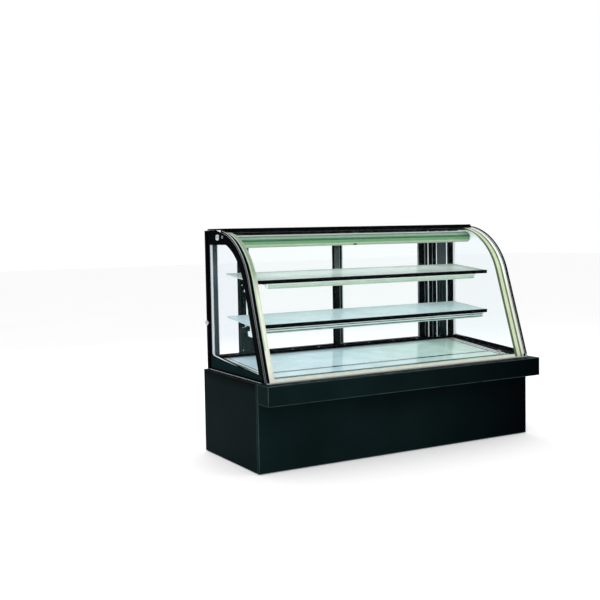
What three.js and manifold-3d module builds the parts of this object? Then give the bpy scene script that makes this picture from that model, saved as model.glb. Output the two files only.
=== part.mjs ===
// Curved-glass refrigerated display showcase, 1800 mm long, with two sliding rear doors.
// Millimetres, +Z up. X runs along the case, the customer's side faces -Y, and the origin is on the
// floor under the middle of the case. Each piece is its own named mesh.
import * as THREE from 'three';
import { mergeVertices } from 'three/addons/utils/BufferGeometryUtils.js';
import Module from 'manifold-3d';

const wasm = await Module();
wasm.setup();

// ---- driving dimensions ----
const LENGTH = 1800;              // over the base
const DEPTH = 750;                // ledge front to the rear face
const BASE_TOP = 465;             // top of the base and of the ledge
const LEDGE_HEIGHT = 103;
const LEDGE_OVERHANG = 110;       // ledge front beyond the base front
const FLOOR_GAP = 4;              // panels stand clear of the floor, the feet carry the load
const BOARD = 25;                 // thickness of the side boards
const FRONT_BOARD = 18;
const SHEET = 4;                  // rear panel and grille sheet
const CLEAR = 0.3;                // gap between touching pieces

const CASE_INSET = 28;            // side glass outer plane from the end of the base
const SIDE_T = 10;                // side glass
const FRONT_T = 8;                // outer front pane
const SPACER_T = 12;              // gap between the front panes
const INNER_T = 5;                // inner front pane
const SPACER_WIDTH = 30;          // spacer seen from the front
const SPACER_INSET = 26;          // spacer's outer edge from the end of the front glass
const LEAN = THREE.MathUtils.degToRad(18);   // lean of the straight part of the front glass
const CURVE_R = 390;              // outer radius of the front glass
const CASE_TOP = 1240;            // top of the side glass, underside of the lid
const LID_T = 8;
const LID_FRONT = 171;            // Y of the lid's front edge
const FLANGE_BOTTOM = 1213;
const GLASS_END = 170;            // Y where the front glass ends under the lid

const DECK_TILT = THREE.MathUtils.degToRad(4.5);
const SHELF_TILT = THREE.MathUtils.degToRad(6);
const SHELF_DEPTH = 309;
const SHELF_HALF = 802;           // half the shelf length
const SHELF_FRONT = -45;          // Y of the shelf's front edge
const SHELF_TOPS = { lower: 733, upper: 970 };  // top of the nosing
const LED_HALF = { lower: 768, upper: 705 };    // half the LED bars' length
const GLASS_T = 8;                // shelves and deck

const REAR = DEPTH / 2;
const END = LENGTH / 2;
const LEDGE_FRONT = -REAR;
const BASE_FRONT = LEDGE_FRONT + LEDGE_OVERHANG;
const LEDGE_BOTTOM = BASE_TOP - LEDGE_HEIGHT;
const SIDE_OUT = END - CASE_INSET;        // outer plane of the side glass
const SIDE_IN = SIDE_OUT - SIDE_T;        // inner plane of the side glass
const CURVE_Z = CASE_TOP - CURVE_R;
const CURVE_Y = 230;                      // Y of the curve's centre
const CASE_REAR = REAR - 8;               // rear edge of the side glass and the sill
const POST_FRONT = CASE_REAR - 48;        // front face of the corner posts
const SILL_FRONT = POST_FRONT - 20;       // front face of the rear sill
const SILL_TOP = 540;                     // rear sill, over its door ribs
const RIB = 10;                           // depth of a door groove
const DOOR_T = 12;
const DOOR_W = 683;
const DOOR_MEET = -20;                    // X of the middle of the doors' overlap
const DOOR_LAP = 77;
const STILE = 44;
const DOOR_RAIL = 34;             // top rail
const DOOR_FOOT = 14;             // bottom rail, which runs down in the sill
const DOOR_BOTTOM = SILL_TOP - RIB + 1;
const TRACK_BOTTOM = 1206;
const DOOR_TOP = TRACK_BOTTOM + 6;
const INNER_DOOR_Y = CASE_REAR - 37;      // front face of the inner door
const OUTER_DOOR_Y = INNER_DOOR_Y + DOOR_T + 4;

// ---- materials ----
const paint = (color, roughness, metalness = 0) =>
  new THREE.MeshStandardMaterial({ color, roughness, metalness });
const BOARD_BLACK = paint(0x0b1a1c, 0.15);
const FRAME_BLACK = paint(0x07090a, 0.3);
const SHEET_BLACK = paint(0x15191a, 0.5, 0.3);
const SLATE = paint(0x3f494b, 0.45, 0.2);
const MINT = paint(0x8fc7a4, 0.4);
const CREAM = paint(0xd6dcc0, 0.5);
const WHITE = paint(0xf1f4f1, 0.4);
const STEEL = paint(0xb9bec0, 0.35, 0.9);
const CHROME = paint(0xe6e8ea, 0.08, 1);
const PLASTIC = paint(0x1b1d1e, 0.55);
const SWITCH_GREEN = paint(0x2f9a56, 0.4);
const SWITCH_AMBER = paint(0xd09330, 0.4);
const PANE = paint(0xdff2f2, 0.05);
const AQUA = paint(0xbfe6e2, 0.08);
PANE.transparent = true;
PANE.opacity = 0.25;
AQUA.transparent = true;
AQUA.opacity = 0.6;

// ---- geometry helpers ----
const X_AXIS = new THREE.Vector3(1, 0, 0);
const Y_AXIS = new THREE.Vector3(0, 1, 0);
const Z_AXIS = new THREE.Vector3(0, 0, 1);

// A block from its lowest to its highest corner.
function block(x0, x1, y0, y1, z0, z1) {
  const geometry = new THREE.BoxGeometry(x1 - x0, y1 - y0, z1 - z0);
  return geometry.translate((x0 + x1) / 2, (y0 + y1) / 2, (z0 + z1) / 2);
}

// An outline in the (Y, Z) plane, drawn out along X.
function alongX(shape, x0, x1, curveSegments = 16) {
  const geometry = new THREE.ExtrudeGeometry(shape, { depth: x1 - x0, bevelEnabled: false, curveSegments });
  geometry.translate(0, 0, x0);
  return geometry.applyMatrix4(new THREE.Matrix4().makeBasis(Y_AXIS, Z_AXIS, X_AXIS));
}

// An outline in the (X, Y) plane, drawn up along Z.
function alongZ(shape, z0, z1, curveSegments = 12) {
  const geometry = new THREE.ExtrudeGeometry(shape, { depth: z1 - z0, bevelEnabled: false, curveSegments });
  return geometry.translate(0, 0, z0);
}

function polygon(points) {
  return new THREE.Shape(points.map(([a, b]) => new THREE.Vector2(a, b)));
}

// A closed outline turned about Z, from [radius, height] pairs.
function turned(profile, sides) {
  const lathe = new THREE.LatheGeometry(profile.map(([r, h]) => new THREE.Vector2(r, h)), sides);
  return lathe.rotateX(Math.PI / 2);
}

// A cylinder along Y, centred at (x, z).
function barY(x, z, radius, y0, y1, sides = 24) {
  const geometry = new THREE.CylinderGeometry(radius, radius, y1 - y0, sides);
  return geometry.translate(x, (y0 + y1) / 2, z);
}

function toSolid(geometry) {
  const bare = geometry.clone();
  bare.deleteAttribute('normal');
  bare.deleteAttribute('uv');
  const merged = mergeVertices(bare, 1e-4);
  const vertProperties = new Float32Array(merged.attributes.position.array);
  const triVerts = new Uint32Array(merged.index.array);
  return new wasm.Manifold(new wasm.Mesh({ numProp: 3, vertProperties, triVerts }));
}

function toGeometry(solid) {
  const { vertProperties, triVerts } = solid.getMesh();
  const geometry = new THREE.BufferGeometry();
  geometry.setAttribute('position', new THREE.BufferAttribute(vertProperties, 3));
  geometry.setIndex(new THREE.BufferAttribute(triVerts, 1));
  geometry.computeVertexNormals();
  return geometry;
}

function join(first, ...others) {
  return toGeometry(others.reduce((solid, other) => solid.add(toSolid(other)), toSolid(first)));
}

function cut(first, ...others) {
  return toGeometry(others.reduce((solid, other) => solid.subtract(toSolid(other)), toSolid(first)));
}

const showcase = new THREE.Group();

function add(name, geometry, material, parent = showcase) {
  const mesh = new THREE.Mesh(geometry, material);
  mesh.name = name;
  parent.add(mesh);
  return mesh;
}

// ---- front glass profile ----
// Outline of the front glass `inset` mm inside its outer face, from height zFoot to where it meets Y = yEnd.
function frontCurve(inset, zFoot, yEnd, steps = 22) {
  const radius = CURVE_R - inset;
  const startAngle = Math.PI - LEAN;
  const endAngle = Math.acos((yEnd - CURVE_Y) / radius);
  const tangentY = CURVE_Y + radius * Math.cos(startAngle);
  const tangentZ = CURVE_Z + radius * Math.sin(startAngle);
  const points = [[tangentY - (tangentZ - zFoot) * Math.tan(LEAN), zFoot]];
  for (let i = 0; i <= steps; i += 1) {
    const angle = startAngle + ((endAngle - startAngle) * i) / steps;
    points.push([CURVE_Y + radius * Math.cos(angle), CURVE_Z + radius * Math.sin(angle)]);
  }
  return points;
}

// The band between two insets from the outer face of the front glass.
function glassBand(outer, inner, zFoot, yEnd) {
  const back = frontCurve(inner, zFoot, yEnd).reverse();
  return polygon([...frontCurve(outer, zFoot, yEnd), ...back].reverse());
}

// ---- base ----
function addBoards() {
  const top = BASE_TOP;
  for (const [side, sign] of [['left', -1], ['right', 1]]) {
    const x = [sign * END, sign * (END - BOARD)].sort((a, b) => a - b);
    const front = BASE_FRONT + FRONT_BOARD + CLEAR;
    add(`${side}_side_panel`, block(x[0], x[1], front, REAR, FLOOR_GAP, top), BOARD_BLACK);
  }
  add('front_panel', block(-END, END, BASE_FRONT, BASE_FRONT + FRONT_BOARD, FLOOR_GAP, top), BOARD_BLACK);
  add('ledge', block(-END, END, LEDGE_FRONT, BASE_FRONT - CLEAR, LEDGE_BOTTOM, top), BOARD_BLACK);
}

const PLATE = { half: END - BOARD - 1, front: BASE_FRONT + FRONT_BOARD + 2, rear: REAR - SHEET - 1,
  bottom: 20, top: 24 };

function addBasePlate() {
  const { half, front, rear, bottom, top } = PLATE;
  add('base_plate', block(-half, half, front, rear, bottom, top), STEEL);
}

const FOOT_INSET = 60;

function addFeet() {
  const top = PLATE.bottom - CLEAR;
  const foot = turned([[0, 0], [22, 0], [25, 3], [25, 8], [8, 11], [8, top], [0, top]], 20);
  for (const [side, x] of [['left', FOOT_INSET - PLATE.half], ['right', PLATE.half - FOOT_INSET]]) {
    for (const [end, y] of [['front', PLATE.front + FOOT_INSET], ['rear', PLATE.rear - FOOT_INSET]]) {
      add(`foot_${end}_${side}`, foot, PLASTIC).position.set(x, y, 0);
    }
  }
}

// Openings in the rear panel: louvre grille, controller, two switches, power inlet and tray.
const GRILLE = { x0: 150, x1: 770, z0: 90, z1: 310 };
const CONTROLLER = { x: -480, z: 400, w: 77, h: 29 };
const SWITCH = { w: 28, h: 13, z: 400, power: -360, light: -310 };
const INLET = { x: -780, z: 110, w: 48, h: 28 };
const TRAY = { x0: -420, x1: -80, z0: 24, z1: 74, y0: 90 };   // slot, and the tray's front end inside

function window(x, z, w, h) {
  return block(x - w / 2, x + w / 2, REAR - SHEET - 2, REAR + 2, z - h / 2, z + h / 2);
}

function addRearPanel() {
  const inside = END - BOARD - CLEAR;
  const sheet = block(-inside, inside, REAR - SHEET, REAR, FLOOR_GAP, BASE_TOP);
  const grille = window((GRILLE.x0 + GRILLE.x1) / 2, (GRILLE.z0 + GRILLE.z1) / 2,
    GRILLE.x1 - GRILLE.x0, GRILLE.z1 - GRILLE.z0);
  const tray = window((TRAY.x0 + TRAY.x1) / 2, (TRAY.z0 + TRAY.z1) / 2, TRAY.x1 - TRAY.x0, TRAY.z1 - TRAY.z0);
  const controller = window(CONTROLLER.x, CONTROLLER.z, CONTROLLER.w - 6, CONTROLLER.h - 2);
  const power = window(SWITCH.power, SWITCH.z, SWITCH.w, SWITCH.h);
  const light = window(SWITCH.light, SWITCH.z, SWITCH.w, SWITCH.h);
  const inlet = window(INLET.x, INLET.z, INLET.w - 6, INLET.h - 4);
  add('rear_panel', cut(sheet, grille, tray, controller, power, light, inlet), SHEET_BLACK);
}

const LOUVRE = { pitch: 18, height: 8, margin: 20, sideMargin: 25 };

function addGrille() {
  const gap = 1;
  const { x0, x1, z0, z1 } = GRILLE;
  const sheet = block(x0 + gap, x1 - gap, REAR - SHEET, REAR, z0 + gap, z1 - gap);
  const slots = [];
  for (let z = z0 + LOUVRE.margin; z < z1 - LOUVRE.height; z += LOUVRE.pitch) {
    slots.push(window((x0 + x1) / 2, z, x1 - x0 - 2 * LOUVRE.sideMargin, LOUVRE.height));
  }
  add('rear_grille', cut(sheet, ...slots), SHEET_BLACK);
}

// ---- controls in the rear panel ----
const BUTTON = { w: 10, h: 8, depth: 5, places: { up: 14, down: 27 } };   // from the controller's middle
const ROCKER = { tilt: THREE.MathUtils.degToRad(6), depth: 7 };
const CONTROL_BOX = { back: REAR - 52, front: REAR - 16, half: 22, margin: 10 };
const WELL = { back: REAR - 20, floor: REAR - 15, wall: 3 };              // rocker wells and controller body
const SOCKET = { w: 26, h: 16, depth: 22, back: REAR - 34 };

// A window's clearance block, from depth y0 out past the panel.
function well(x, z, w, h, y0) {
  return block(x - w / 2, x + w / 2, y0, REAR + 2, z - h / 2, z + h / 2);
}

// One electrical box behind the panel: the controller's face and the two rocker wells stand in its windows.
function addControls() {
  const { x, z, w, h } = CONTROLLER;
  const { back, front, half, margin } = CONTROL_BOX;
  const casing = block(x - w / 2, SWITCH.light + SWITCH.w / 2 + margin, back, front, z - half, z + half);
  const face = block(x - w / 2 + 4, x + w / 2 - 4, WELL.back, REAR - 1, z - h / 2 + 2, z + h / 2 - 2);
  const buttonWells = Object.values(BUTTON.places).map((dx) =>
    well(x + dx, z, BUTTON.w + 1, BUTTON.h + 1, REAR - BUTTON.depth - 2));
  const rockers = [SWITCH.power, SWITCH.light];
  const cupW = SWITCH.w / 2 + WELL.wall;
  const cupH = SWITCH.h / 2 + WELL.wall;
  const cups = rockers.map((rx) =>
    block(rx - cupW, rx + cupW, WELL.back, REAR - SHEET - CLEAR, SWITCH.z - cupH, SWITCH.z + cupH));
  const hollows = rockers.map((rx) => well(rx, SWITCH.z, SWITCH.w, SWITCH.h, WELL.floor));
  add('control_box', cut(join(casing, face, ...cups), ...buttonWells, ...hollows), PLASTIC);
  for (const [name, dx] of Object.entries(BUTTON.places)) {
    add(`${name}_button`, block(x + dx - BUTTON.w / 2, x + dx + BUTTON.w / 2, REAR - BUTTON.depth, REAR - 0.2,
      z - BUTTON.h / 2, z + BUTTON.h / 2), WHITE);
  }
  addRocker('power_switch', SWITCH.power, SWITCH_GREEN);
  addRocker('light_switch', SWITCH.light, SWITCH_AMBER);
  const inlet = block(INLET.x - INLET.w / 2 + 4, INLET.x + INLET.w / 2 - 4, SOCKET.back, REAR - 0.5,
    INLET.z - INLET.h / 2 + 3, INLET.z + INLET.h / 2 - 3);
  add('power_inlet', cut(inlet, well(INLET.x, INLET.z, SOCKET.w, SOCKET.h, REAR - SOCKET.depth)), PLASTIC);
}

// A rocker with its two faces meeting in a shallow V, tilted about an upright pivot through its own origin.
function addRocker(name, x, material) {
  const halfW = SWITCH.w / 2 - 2;
  const halfH = SWITCH.h / 2 - 1;
  const shape = polygon([[-halfW, 5.5], [-halfW + 3, -4], [halfW - 3, -4], [halfW, 5.5], [0, 3.3]]);
  const rocker = add(name, alongZ(shape, -halfH, halfH), material);
  rocker.position.set(x, REAR - ROCKER.depth, SWITCH.z);
  rocker.rotation.z = -ROCKER.tilt;
}

// ---- machine compartment ----
const COMPRESSOR = { x: 560, y: 60, r: 82, top: 232 };
const CONDENSER = { x0: 190, x1: 510, y0: 316, y1: 356, z0: 70, z1: 290 };
const CONDENSER_FAN = { r: 78, depth: 22, blades: 5, back: 38 };
const SHROUD = { rim: 12, gap: 6, depth: 40, strut: 48, reach: 110, motorR: 30, motorBack: 78 };

function addCompressor() {
  const { x, y, r, top } = COMPRESSOR;
  const dome = turned([[0, 45], [r * 0.55, 45], [r * 0.92, 62], [r, 84], [r, 128], [r + 5, 128], [r + 5, 136],
    [r, 136], [r, 178], [r * 0.9, 210], [r * 0.6, 228], [0, top]], 28);
  dome.translate(x, y, 0);
  const plate = block(x - 115, x + 115, y - 62, y + 62, 40, 48);
  const stubs = [-1, 1].flatMap((i) => [-1, 1].map((j) =>
    new THREE.CylinderGeometry(11, 11, 42 - PLATE.top - CLEAR, 12).rotateX(Math.PI / 2)
      .translate(x + i * 100, y + j * 48, (PLATE.top + CLEAR + 42) / 2)));
  const terminals = block(x + r - 6, x + r + 34, y - 30, y + 30, 120, 190);
  add('compressor', join(plate, dome, terminals, ...stubs), FRAME_BLACK);
}

// A finned heat exchanger: upright fins on a tube sheet, standing on its lower flange.
function finBlock(x0, x1, y0, y1, z0, z1, count) {
  const front = (y0 + y1) / 2 - 4;
  const back = (y0 + y1) / 2 + 4;
  const pitch = (x1 - x0) / count;
  const fin = pitch * 0.3;
  const near = [];
  const far = [];
  for (let i = 0; i < count; i += 1) {
    const x = x0 + i * pitch;
    near.push([x, y0], [x + fin, y0], [x + fin, front], [x + pitch, front]);
    far.push([x, y1], [x + fin, y1], [x + fin, back], [x + pitch, back]);
  }
  const points = [...near, ...far.reverse()];
  return alongZ(polygon(points), z0, z1);
}

function addCondenser() {
  const { x0, x1, y0, y1, z0, z1 } = CONDENSER;
  const side = 6;                              // tube sheets stand this far outside the fins
  const low = PLATE.top + CLEAR;
  const top = z1 + side;
  const fins = finBlock(x0, x1, y0, y1, z0, z1, 22);
  const rails = [x0 - side, x1 - 8].map((x) => block(x, x + 14, y0, y1, low, top));
  add('condenser_coil', join(fins, ...rails), STEEL);
  addShroud((x0 + x1) / 2, (z0 + z1) / 2, y0, low, top, side);
  addFan('condenser_fan', (x0 + x1) / 2, y0 - CONDENSER_FAN.back, (z0 + z1) / 2, CONDENSER_FAN, STEEL);
}

// The fan's cowl on the condenser, with a strut across it that holds the motor.
function addShroud(x, z, y, low, top, side) {
  const { rim, gap, depth, strut, reach, motorR, motorBack } = SHROUD;
  const plate = block(CONDENSER.x0 - side, CONDENSER.x1 + side, y - 14, y - CLEAR, low, top);
  const ring = barY(x, z, CONDENSER_FAN.r + rim, y - depth, y - 10, 36);
  const hole = barY(x, z, CONDENSER_FAN.r + gap, y - depth - 20, y + 5, 36);
  const frame = toGeometry(toSolid(join(plate, ring)).subtract(toSolid(hole)));
  const bar = block(x - reach, x + reach, y - strut, y - strut + 6, z - 9, z + 9);
  const ears = [-1, 1].map((s) => {
    const middle = x + s * (reach - 6);
    return block(middle - 6, middle + 6, y - strut, y - 8, z - 9, z + 9);
  });
  const motor = barY(x, z, motorR, y - motorBack, y - strut + 6, 20);
  add('condenser_shroud', join(frame, bar, ...ears, motor), SHEET_BLACK);
}

// A fan turning about Y: a hub with pitched blades, its rear face at y.
function addFan(name, x, y, z, { r: radius, depth, blades }, material) {
  const hub = new THREE.CylinderGeometry(radius * 0.26, radius * 0.26, depth, 20).translate(0, depth / 2, 0);
  const parts = [];
  for (let i = 0; i < blades; i += 1) {
    const blade = new THREE.BoxGeometry(radius * 0.8, 2, radius * 0.5);
    blade.rotateX(0.55).translate(radius * 0.57, depth / 2, 0);
    parts.push(blade.rotateY((i * 2 * Math.PI) / blades));
  }
  add(name, join(hub, ...parts), material).position.set(x, y, z);
}

// The tray rests on the base plate and pulls out through the slot in the rear panel.
function addTray() {
  const gap = 2;
  const wall = 3;
  const { x0, x1, y0, z0, z1 } = TRAY;
  const outer = block(x0 + gap, x1 - gap, y0, REAR - SHEET, z0 + CLEAR, z1 - 12);
  const inner = block(x0 + gap + wall, x1 - gap - wall, y0 + wall, REAR - SHEET - wall, z0 + wall, z1);
  const front = block(x0 + gap, x1 - gap, REAR - SHEET - 1, REAR - 0.5, z0 + CLEAR, z1 - gap);
  add('condensate_tray', join(cut(outer, inner), front), PLASTIC);
}

// ---- cold well ----
const TUB = { half: PLATE.half, front: BASE_FRONT + FRONT_BOARD + 1, rear: PLATE.rear, bottom: 300, wall: 30,
  rearWall: 70 };
const TUB_FLOOR = TUB.bottom + TUB.wall;

function addTub() {
  const { half, front, rear, bottom, wall } = TUB;
  const outer = block(-half, half, front, rear, bottom, BASE_TOP - CLEAR);
  const hollow = block(-half + wall, half - wall, front + wall, rear - TUB.rearWall, TUB_FLOOR, BASE_TOP + 1);
  const recess = block(CONTROLLER.x - 60, SWITCH.light + 40, CONTROL_BOX.back - 5, rear + 1, CONTROLLER.z - 30,
    CONTROLLER.z + 30);
  add('tub', cut(outer, hollow, recess), WHITE);
}

const EVAP = { x0: -520, x1: 520, y0: 60, y1: 200, z0: TUB_FLOOR + 12, z1: 440 };
const EVAP_FAN = { r: 46, depth: 26, blades: 5, x: 260, y: -6, z: 392 };
const FAN_PLATE = { half: 620, front: 20, rear: 26, top: 452 };

function addEvaporator() {
  const fins = finBlock(EVAP.x0, EVAP.x1, EVAP.y0, EVAP.y1, EVAP.z0, EVAP.z1, 40);
  const feet = [EVAP.x0 - 5, EVAP.x1 - 10].map((x) =>
    block(x, x + 15, EVAP.y0, EVAP.y1, TUB_FLOOR + CLEAR, EVAP.z1));
  add('evaporator_coil', join(fins, ...feet), STEEL);
  addFanPlate();
  addFan('left_evaporator_fan', -EVAP_FAN.x, EVAP_FAN.y, EVAP_FAN.z, EVAP_FAN, WHITE);
  addFan('right_evaporator_fan', EVAP_FAN.x, EVAP_FAN.y, EVAP_FAN.z, EVAP_FAN, WHITE);
}

// The bulkhead before the coil, with a round hole, a strut and a motor behind each fan.
function addFanPlate() {
  const { half, front, rear, top } = FAN_PLATE;
  const { r, x, z } = EVAP_FAN;
  const plate = block(-half, half, front, rear, TUB_FLOOR + CLEAR, top);
  const holes = [-x, x].map((fx) => barY(fx, z, r + 4, front - 10, rear + 14, 28));
  const struts = [-x, x].map((fx) => block(fx - r - 10, fx + r + 10, rear - 1, rear + 3, z - 6, z + 6));
  const motors = [-x, x].map((fx) => barY(fx, z, 17, rear - 1, rear + 24, 16));
  add('fan_plate', join(cut(plate, ...holes), ...struts, ...motors), STEEL);
}

// ---- glass case ----
function sideProfile() {
  const edge = frontCurve(FRONT_T + CLEAR, BASE_TOP + CLEAR, GLASS_END);
  const top = CASE_TOP - CLEAR;
  const crown = frontCurve(CLEAR, BASE_TOP + CLEAR, GLASS_END + 1);
  const lip = crown[crown.length - 1];
  return polygon([...edge, lip, [CURVE_Y, top], [CASE_REAR, top], [CASE_REAR, BASE_TOP + CLEAR]].reverse());
}

function addSideGlass() {
  const profile = sideProfile();
  add('left_side_glass', alongX(profile, -SIDE_OUT, -SIDE_IN), PANE);
  add('right_side_glass', alongX(profile, SIDE_IN, SIDE_OUT), PANE);
}

const SPACER_OUTER = SIDE_OUT - SPACER_INSET;

function addFrontGlass() {
  const foot = BASE_TOP + CLEAR;
  add('front_glass', alongX(glassBand(0, FRONT_T, foot, GLASS_END), -SIDE_OUT, SIDE_OUT), PANE);
  const from = FRONT_T + CLEAR;
  const to = from + SPACER_T;
  const band = alongX(glassBand(from, to, foot, GLASS_END - 2), -SPACER_OUTER, SPACER_OUTER);
  const low = BASE_TOP + SPACER_WIDTH;
  const clearHalf = SPACER_OUTER - SPACER_WIDTH;
  const opening = alongX(polygon([[-400, low], [LID_FRONT - 26, low], [LID_FRONT - 26, CASE_TOP + 60],
    [-400, CASE_TOP + 60]]), -clearHalf, clearHalf);
  add('glass_spacer', cut(band, opening), CREAM);
  const inner = glassBand(to + CLEAR, to + CLEAR + INNER_T, foot, GLASS_END - 4);
  add('front_glass_inner', alongX(inner, -SPACER_OUTER, SPACER_OUTER), PANE);
}

function addLid() {
  const plate = block(-SIDE_IN, SIDE_IN, LID_FRONT, CASE_REAR, CASE_TOP, CASE_TOP + LID_T);
  const inside = SIDE_IN - CLEAR;
  const flange = block(-inside, inside, LID_FRONT, LID_FRONT + 4, FLANGE_BOTTOM, CASE_TOP + 1);
  add('lid', join(plate, flange), FRAME_BLACK);
}

const LAMP_HALF = 805;
const LAMP = { front: 118, rear: 180, bottom: 1140, seam: 1176, top: 1206 };

// A light box hung behind the lid's flange: a reflector housing with a frosted lens above it.
function addLamp() {
  const { front, rear, bottom, seam, top } = LAMP;
  const body = polygon([[front + 4, bottom + 8], [front + 16, bottom], [rear, bottom + 14], [rear, top],
    [rear - 13, top], [rear - 16, seam + 2], [front + 2, seam - 2]]);
  const hanger = (x) => block(x - 20, x + 20, rear - 4, rear, top - 20, CASE_TOP - CLEAR);
  const hangers = [-LAMP_HALF + 60, 0, LAMP_HALF - 60].map(hanger);
  add('lamp_housing', join(alongX(body, -LAMP_HALF, LAMP_HALF), ...hangers), MINT);
  const lens = polygon([[front, seam], [rear - 17, seam + 3], [rear - 14, top - 4], [front + 22, top - 7],
    [front + 5, seam + 14]]);
  add('lamp_diffuser', alongX(lens, -LAMP_HALF, LAMP_HALF), WHITE);
}

// Curbs along the side glass: a wedge under the deck and a low upstand beside it.
const DECK = { front: -266, z: 480, half: 838 };
const CURB_GAP = 2;                // between the rear sill, the curbs and the deck
const deckZ = (y) => DECK.z + (y - DECK.front) * Math.tan(DECK_TILT);

function addCurbs() {
  const front = DECK.front + 2;
  const rear = SILL_FRONT - CURB_GAP;
  const under = (y) => deckZ(y) - GLASS_T / Math.cos(DECK_TILT) - CLEAR;
  const low = BASE_TOP + CLEAR;
  const wedge = polygon([[front, low], [rear, low], [rear, under(rear)], [front, under(front)]]);
  const rise = polygon([[front, low], [rear, low], [rear, deckZ(rear) + 14], [front, deckZ(front) + 6]]);
  for (const [side, sign] of [['left', -1], ['right', 1]]) {
    const x = [sign * (SIDE_IN - CLEAR), sign * (DECK.half + 1), sign * (DECK.half - 24)].sort((a, b) => a - b);
    const web = sign < 0 ? [x[0], x[1]] : [x[1], x[2]];
    add(`${side}_curb`, join(alongX(wedge, x[0], x[2]), alongX(rise, web[0], web[1])), FRAME_BLACK);
  }
}

function addDeck() {
  const length = (SILL_FRONT - 2 * CURB_GAP - DECK.front) / Math.cos(DECK_TILT);
  const mesh = add('deck_glass', block(-DECK.half, DECK.half, 0, length, -GLASS_T, 0), AQUA);
  mesh.position.set(0, DECK.front, DECK.z);
  mesh.rotation.x = DECK_TILT;
}

// Rear sill with two open grooves for the doors, and the matching track under the lid.
function railProfile(base, tip) {
  const inner = INNER_DOOR_Y;
  const outer = OUTER_DOOR_Y;
  const floor = tip > base ? tip - RIB : tip + RIB;
  const points = [[inner - 9, base], [CASE_REAR, base], [CASE_REAR, tip], [outer + DOOR_T + 1, tip],
    [outer + DOOR_T + 1, floor], [outer - 1, floor], [outer - 1, tip], [inner + DOOR_T + 1, tip],
    [inner + DOOR_T + 1, floor], [inner - 1, floor], [inner - 1, tip], [inner - 9, tip]];
  return polygon(tip > base ? points : points.reverse());
}

function addRails() {
  const inside = SIDE_IN - CLEAR;
  const sill = alongX(railProfile(BASE_TOP + CLEAR, SILL_TOP), -inside, inside);
  const nose = alongX(polygon([[SILL_FRONT, BASE_TOP + CLEAR], [INNER_DOOR_Y - 8, BASE_TOP + CLEAR],
    [INNER_DOOR_Y - 8, SILL_TOP], [SILL_FRONT, SILL_TOP]]), -inside, inside);
  add('rear_sill', join(sill, nose), FRAME_BLACK);
  const track = alongX(railProfile(CASE_TOP - CLEAR, TRACK_BOTTOM), JAMB.left + CLEAR, JAMB.right - CLEAR);
  add('top_track', track, FRAME_BLACK);
}

// Rear corners, and the slotted uprights that carry the shelves. The right corner holds the air duct;
// the left one is a slim post with a fixed pane bonded to it, which the upright's flange closes.
const POST_OUTER = 845;
const POST_WIDTH = 40;
const DUCT_WIDTH = 91;
const DUCT_STEP = 6;              // how far the duct's face stands behind the post's
const JAMB = {                    // X of the door jambs
  left: DOOR_MEET + DOOR_LAP / 2 - DOOR_W - 9.5,
  right: DOOR_MEET - DOOR_LAP / 2 + DOOR_W + 9.5,
};
const JAMB_T = 8;
const SLIM_POST = { outer: -842, inner: -816, front: 343 };
const REAR_PANE = { front: 360, back: 366 };
const UPRIGHT = { near: 648, far: 698, front: POST_FRONT - 18, back: POST_FRONT - 3, sheet: 3 };

function addPosts() {
  const low = SILL_TOP + CLEAR;
  const top = CASE_TOP - CLEAR;
  const inner = POST_OUTER - POST_WIDTH;
  const duct = inner - DUCT_WIDTH;
  const face = POST_FRONT + DUCT_STEP;
  const rightCorner = polygon([[inner, POST_FRONT], [POST_OUTER, POST_FRONT], [POST_OUTER, CASE_REAR],
    [JAMB.right, CASE_REAR], [JAMB.right, INNER_DOOR_Y], [duct, INNER_DOOR_Y], [duct, face], [inner, face]]);
  add('right_corner_duct', alongZ(rightCorner, low, top), SLATE);
  const { outer, inner: paneEnd, front } = SLIM_POST;
  const paneTip = JAMB.left - JAMB_T - CLEAR;
  const leftCorner = polygon([[outer, front], [paneEnd, front], [paneEnd, REAR_PANE.front],
    [paneTip, REAR_PANE.front], [paneTip, REAR_PANE.back], [paneEnd, REAR_PANE.back], [paneEnd, CASE_REAR],
    [outer, CASE_REAR]]);
  add('left_corner_pane', alongZ(leftCorner, low, top), SLATE);

  const base = UPRIGHT.back - UPRIGHT.sheet;
  const jambEdge = JAMB.left - JAMB_T;
  const flange = polygon([[-UPRIGHT.far, base], [JAMB.left, base], [JAMB.left, CASE_REAR],
    [jambEdge, CASE_REAR], [jambEdge, UPRIGHT.back], [-UPRIGHT.far, UPRIGHT.back]]);
  const channel = slottedUpright(-UPRIGHT.far, -UPRIGHT.near, low);
  add('left_upright', join(channel, alongZ(flange, low, top)), FRAME_BLACK);
  add('right_upright', slottedUpright(UPRIGHT.near, UPRIGHT.far, low), FRAME_BLACK);
}

// A channel open to the rear, with a row of slots in its face.
function slottedUpright(x0, x1, low) {
  const { front, back, sheet } = UPRIGHT;
  const top = CASE_TOP - CLEAR;
  const channel = polygon([[x0, front], [x1, front], [x1, back], [x1 - sheet, back], [x1 - sheet, front + sheet],
    [x0 + sheet, front + sheet], [x0 + sheet, back], [x0, back]]);
  const middle = (x0 + x1) / 2;
  const slots = [];
  for (let z = low + 45; z < top - 60; z += 50) {
    slots.push(block(middle - 2, middle + 2, front - 5, front + 5, z, z + 18));
  }
  return cut(alongZ(channel, low, top), ...slots);
}

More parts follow.
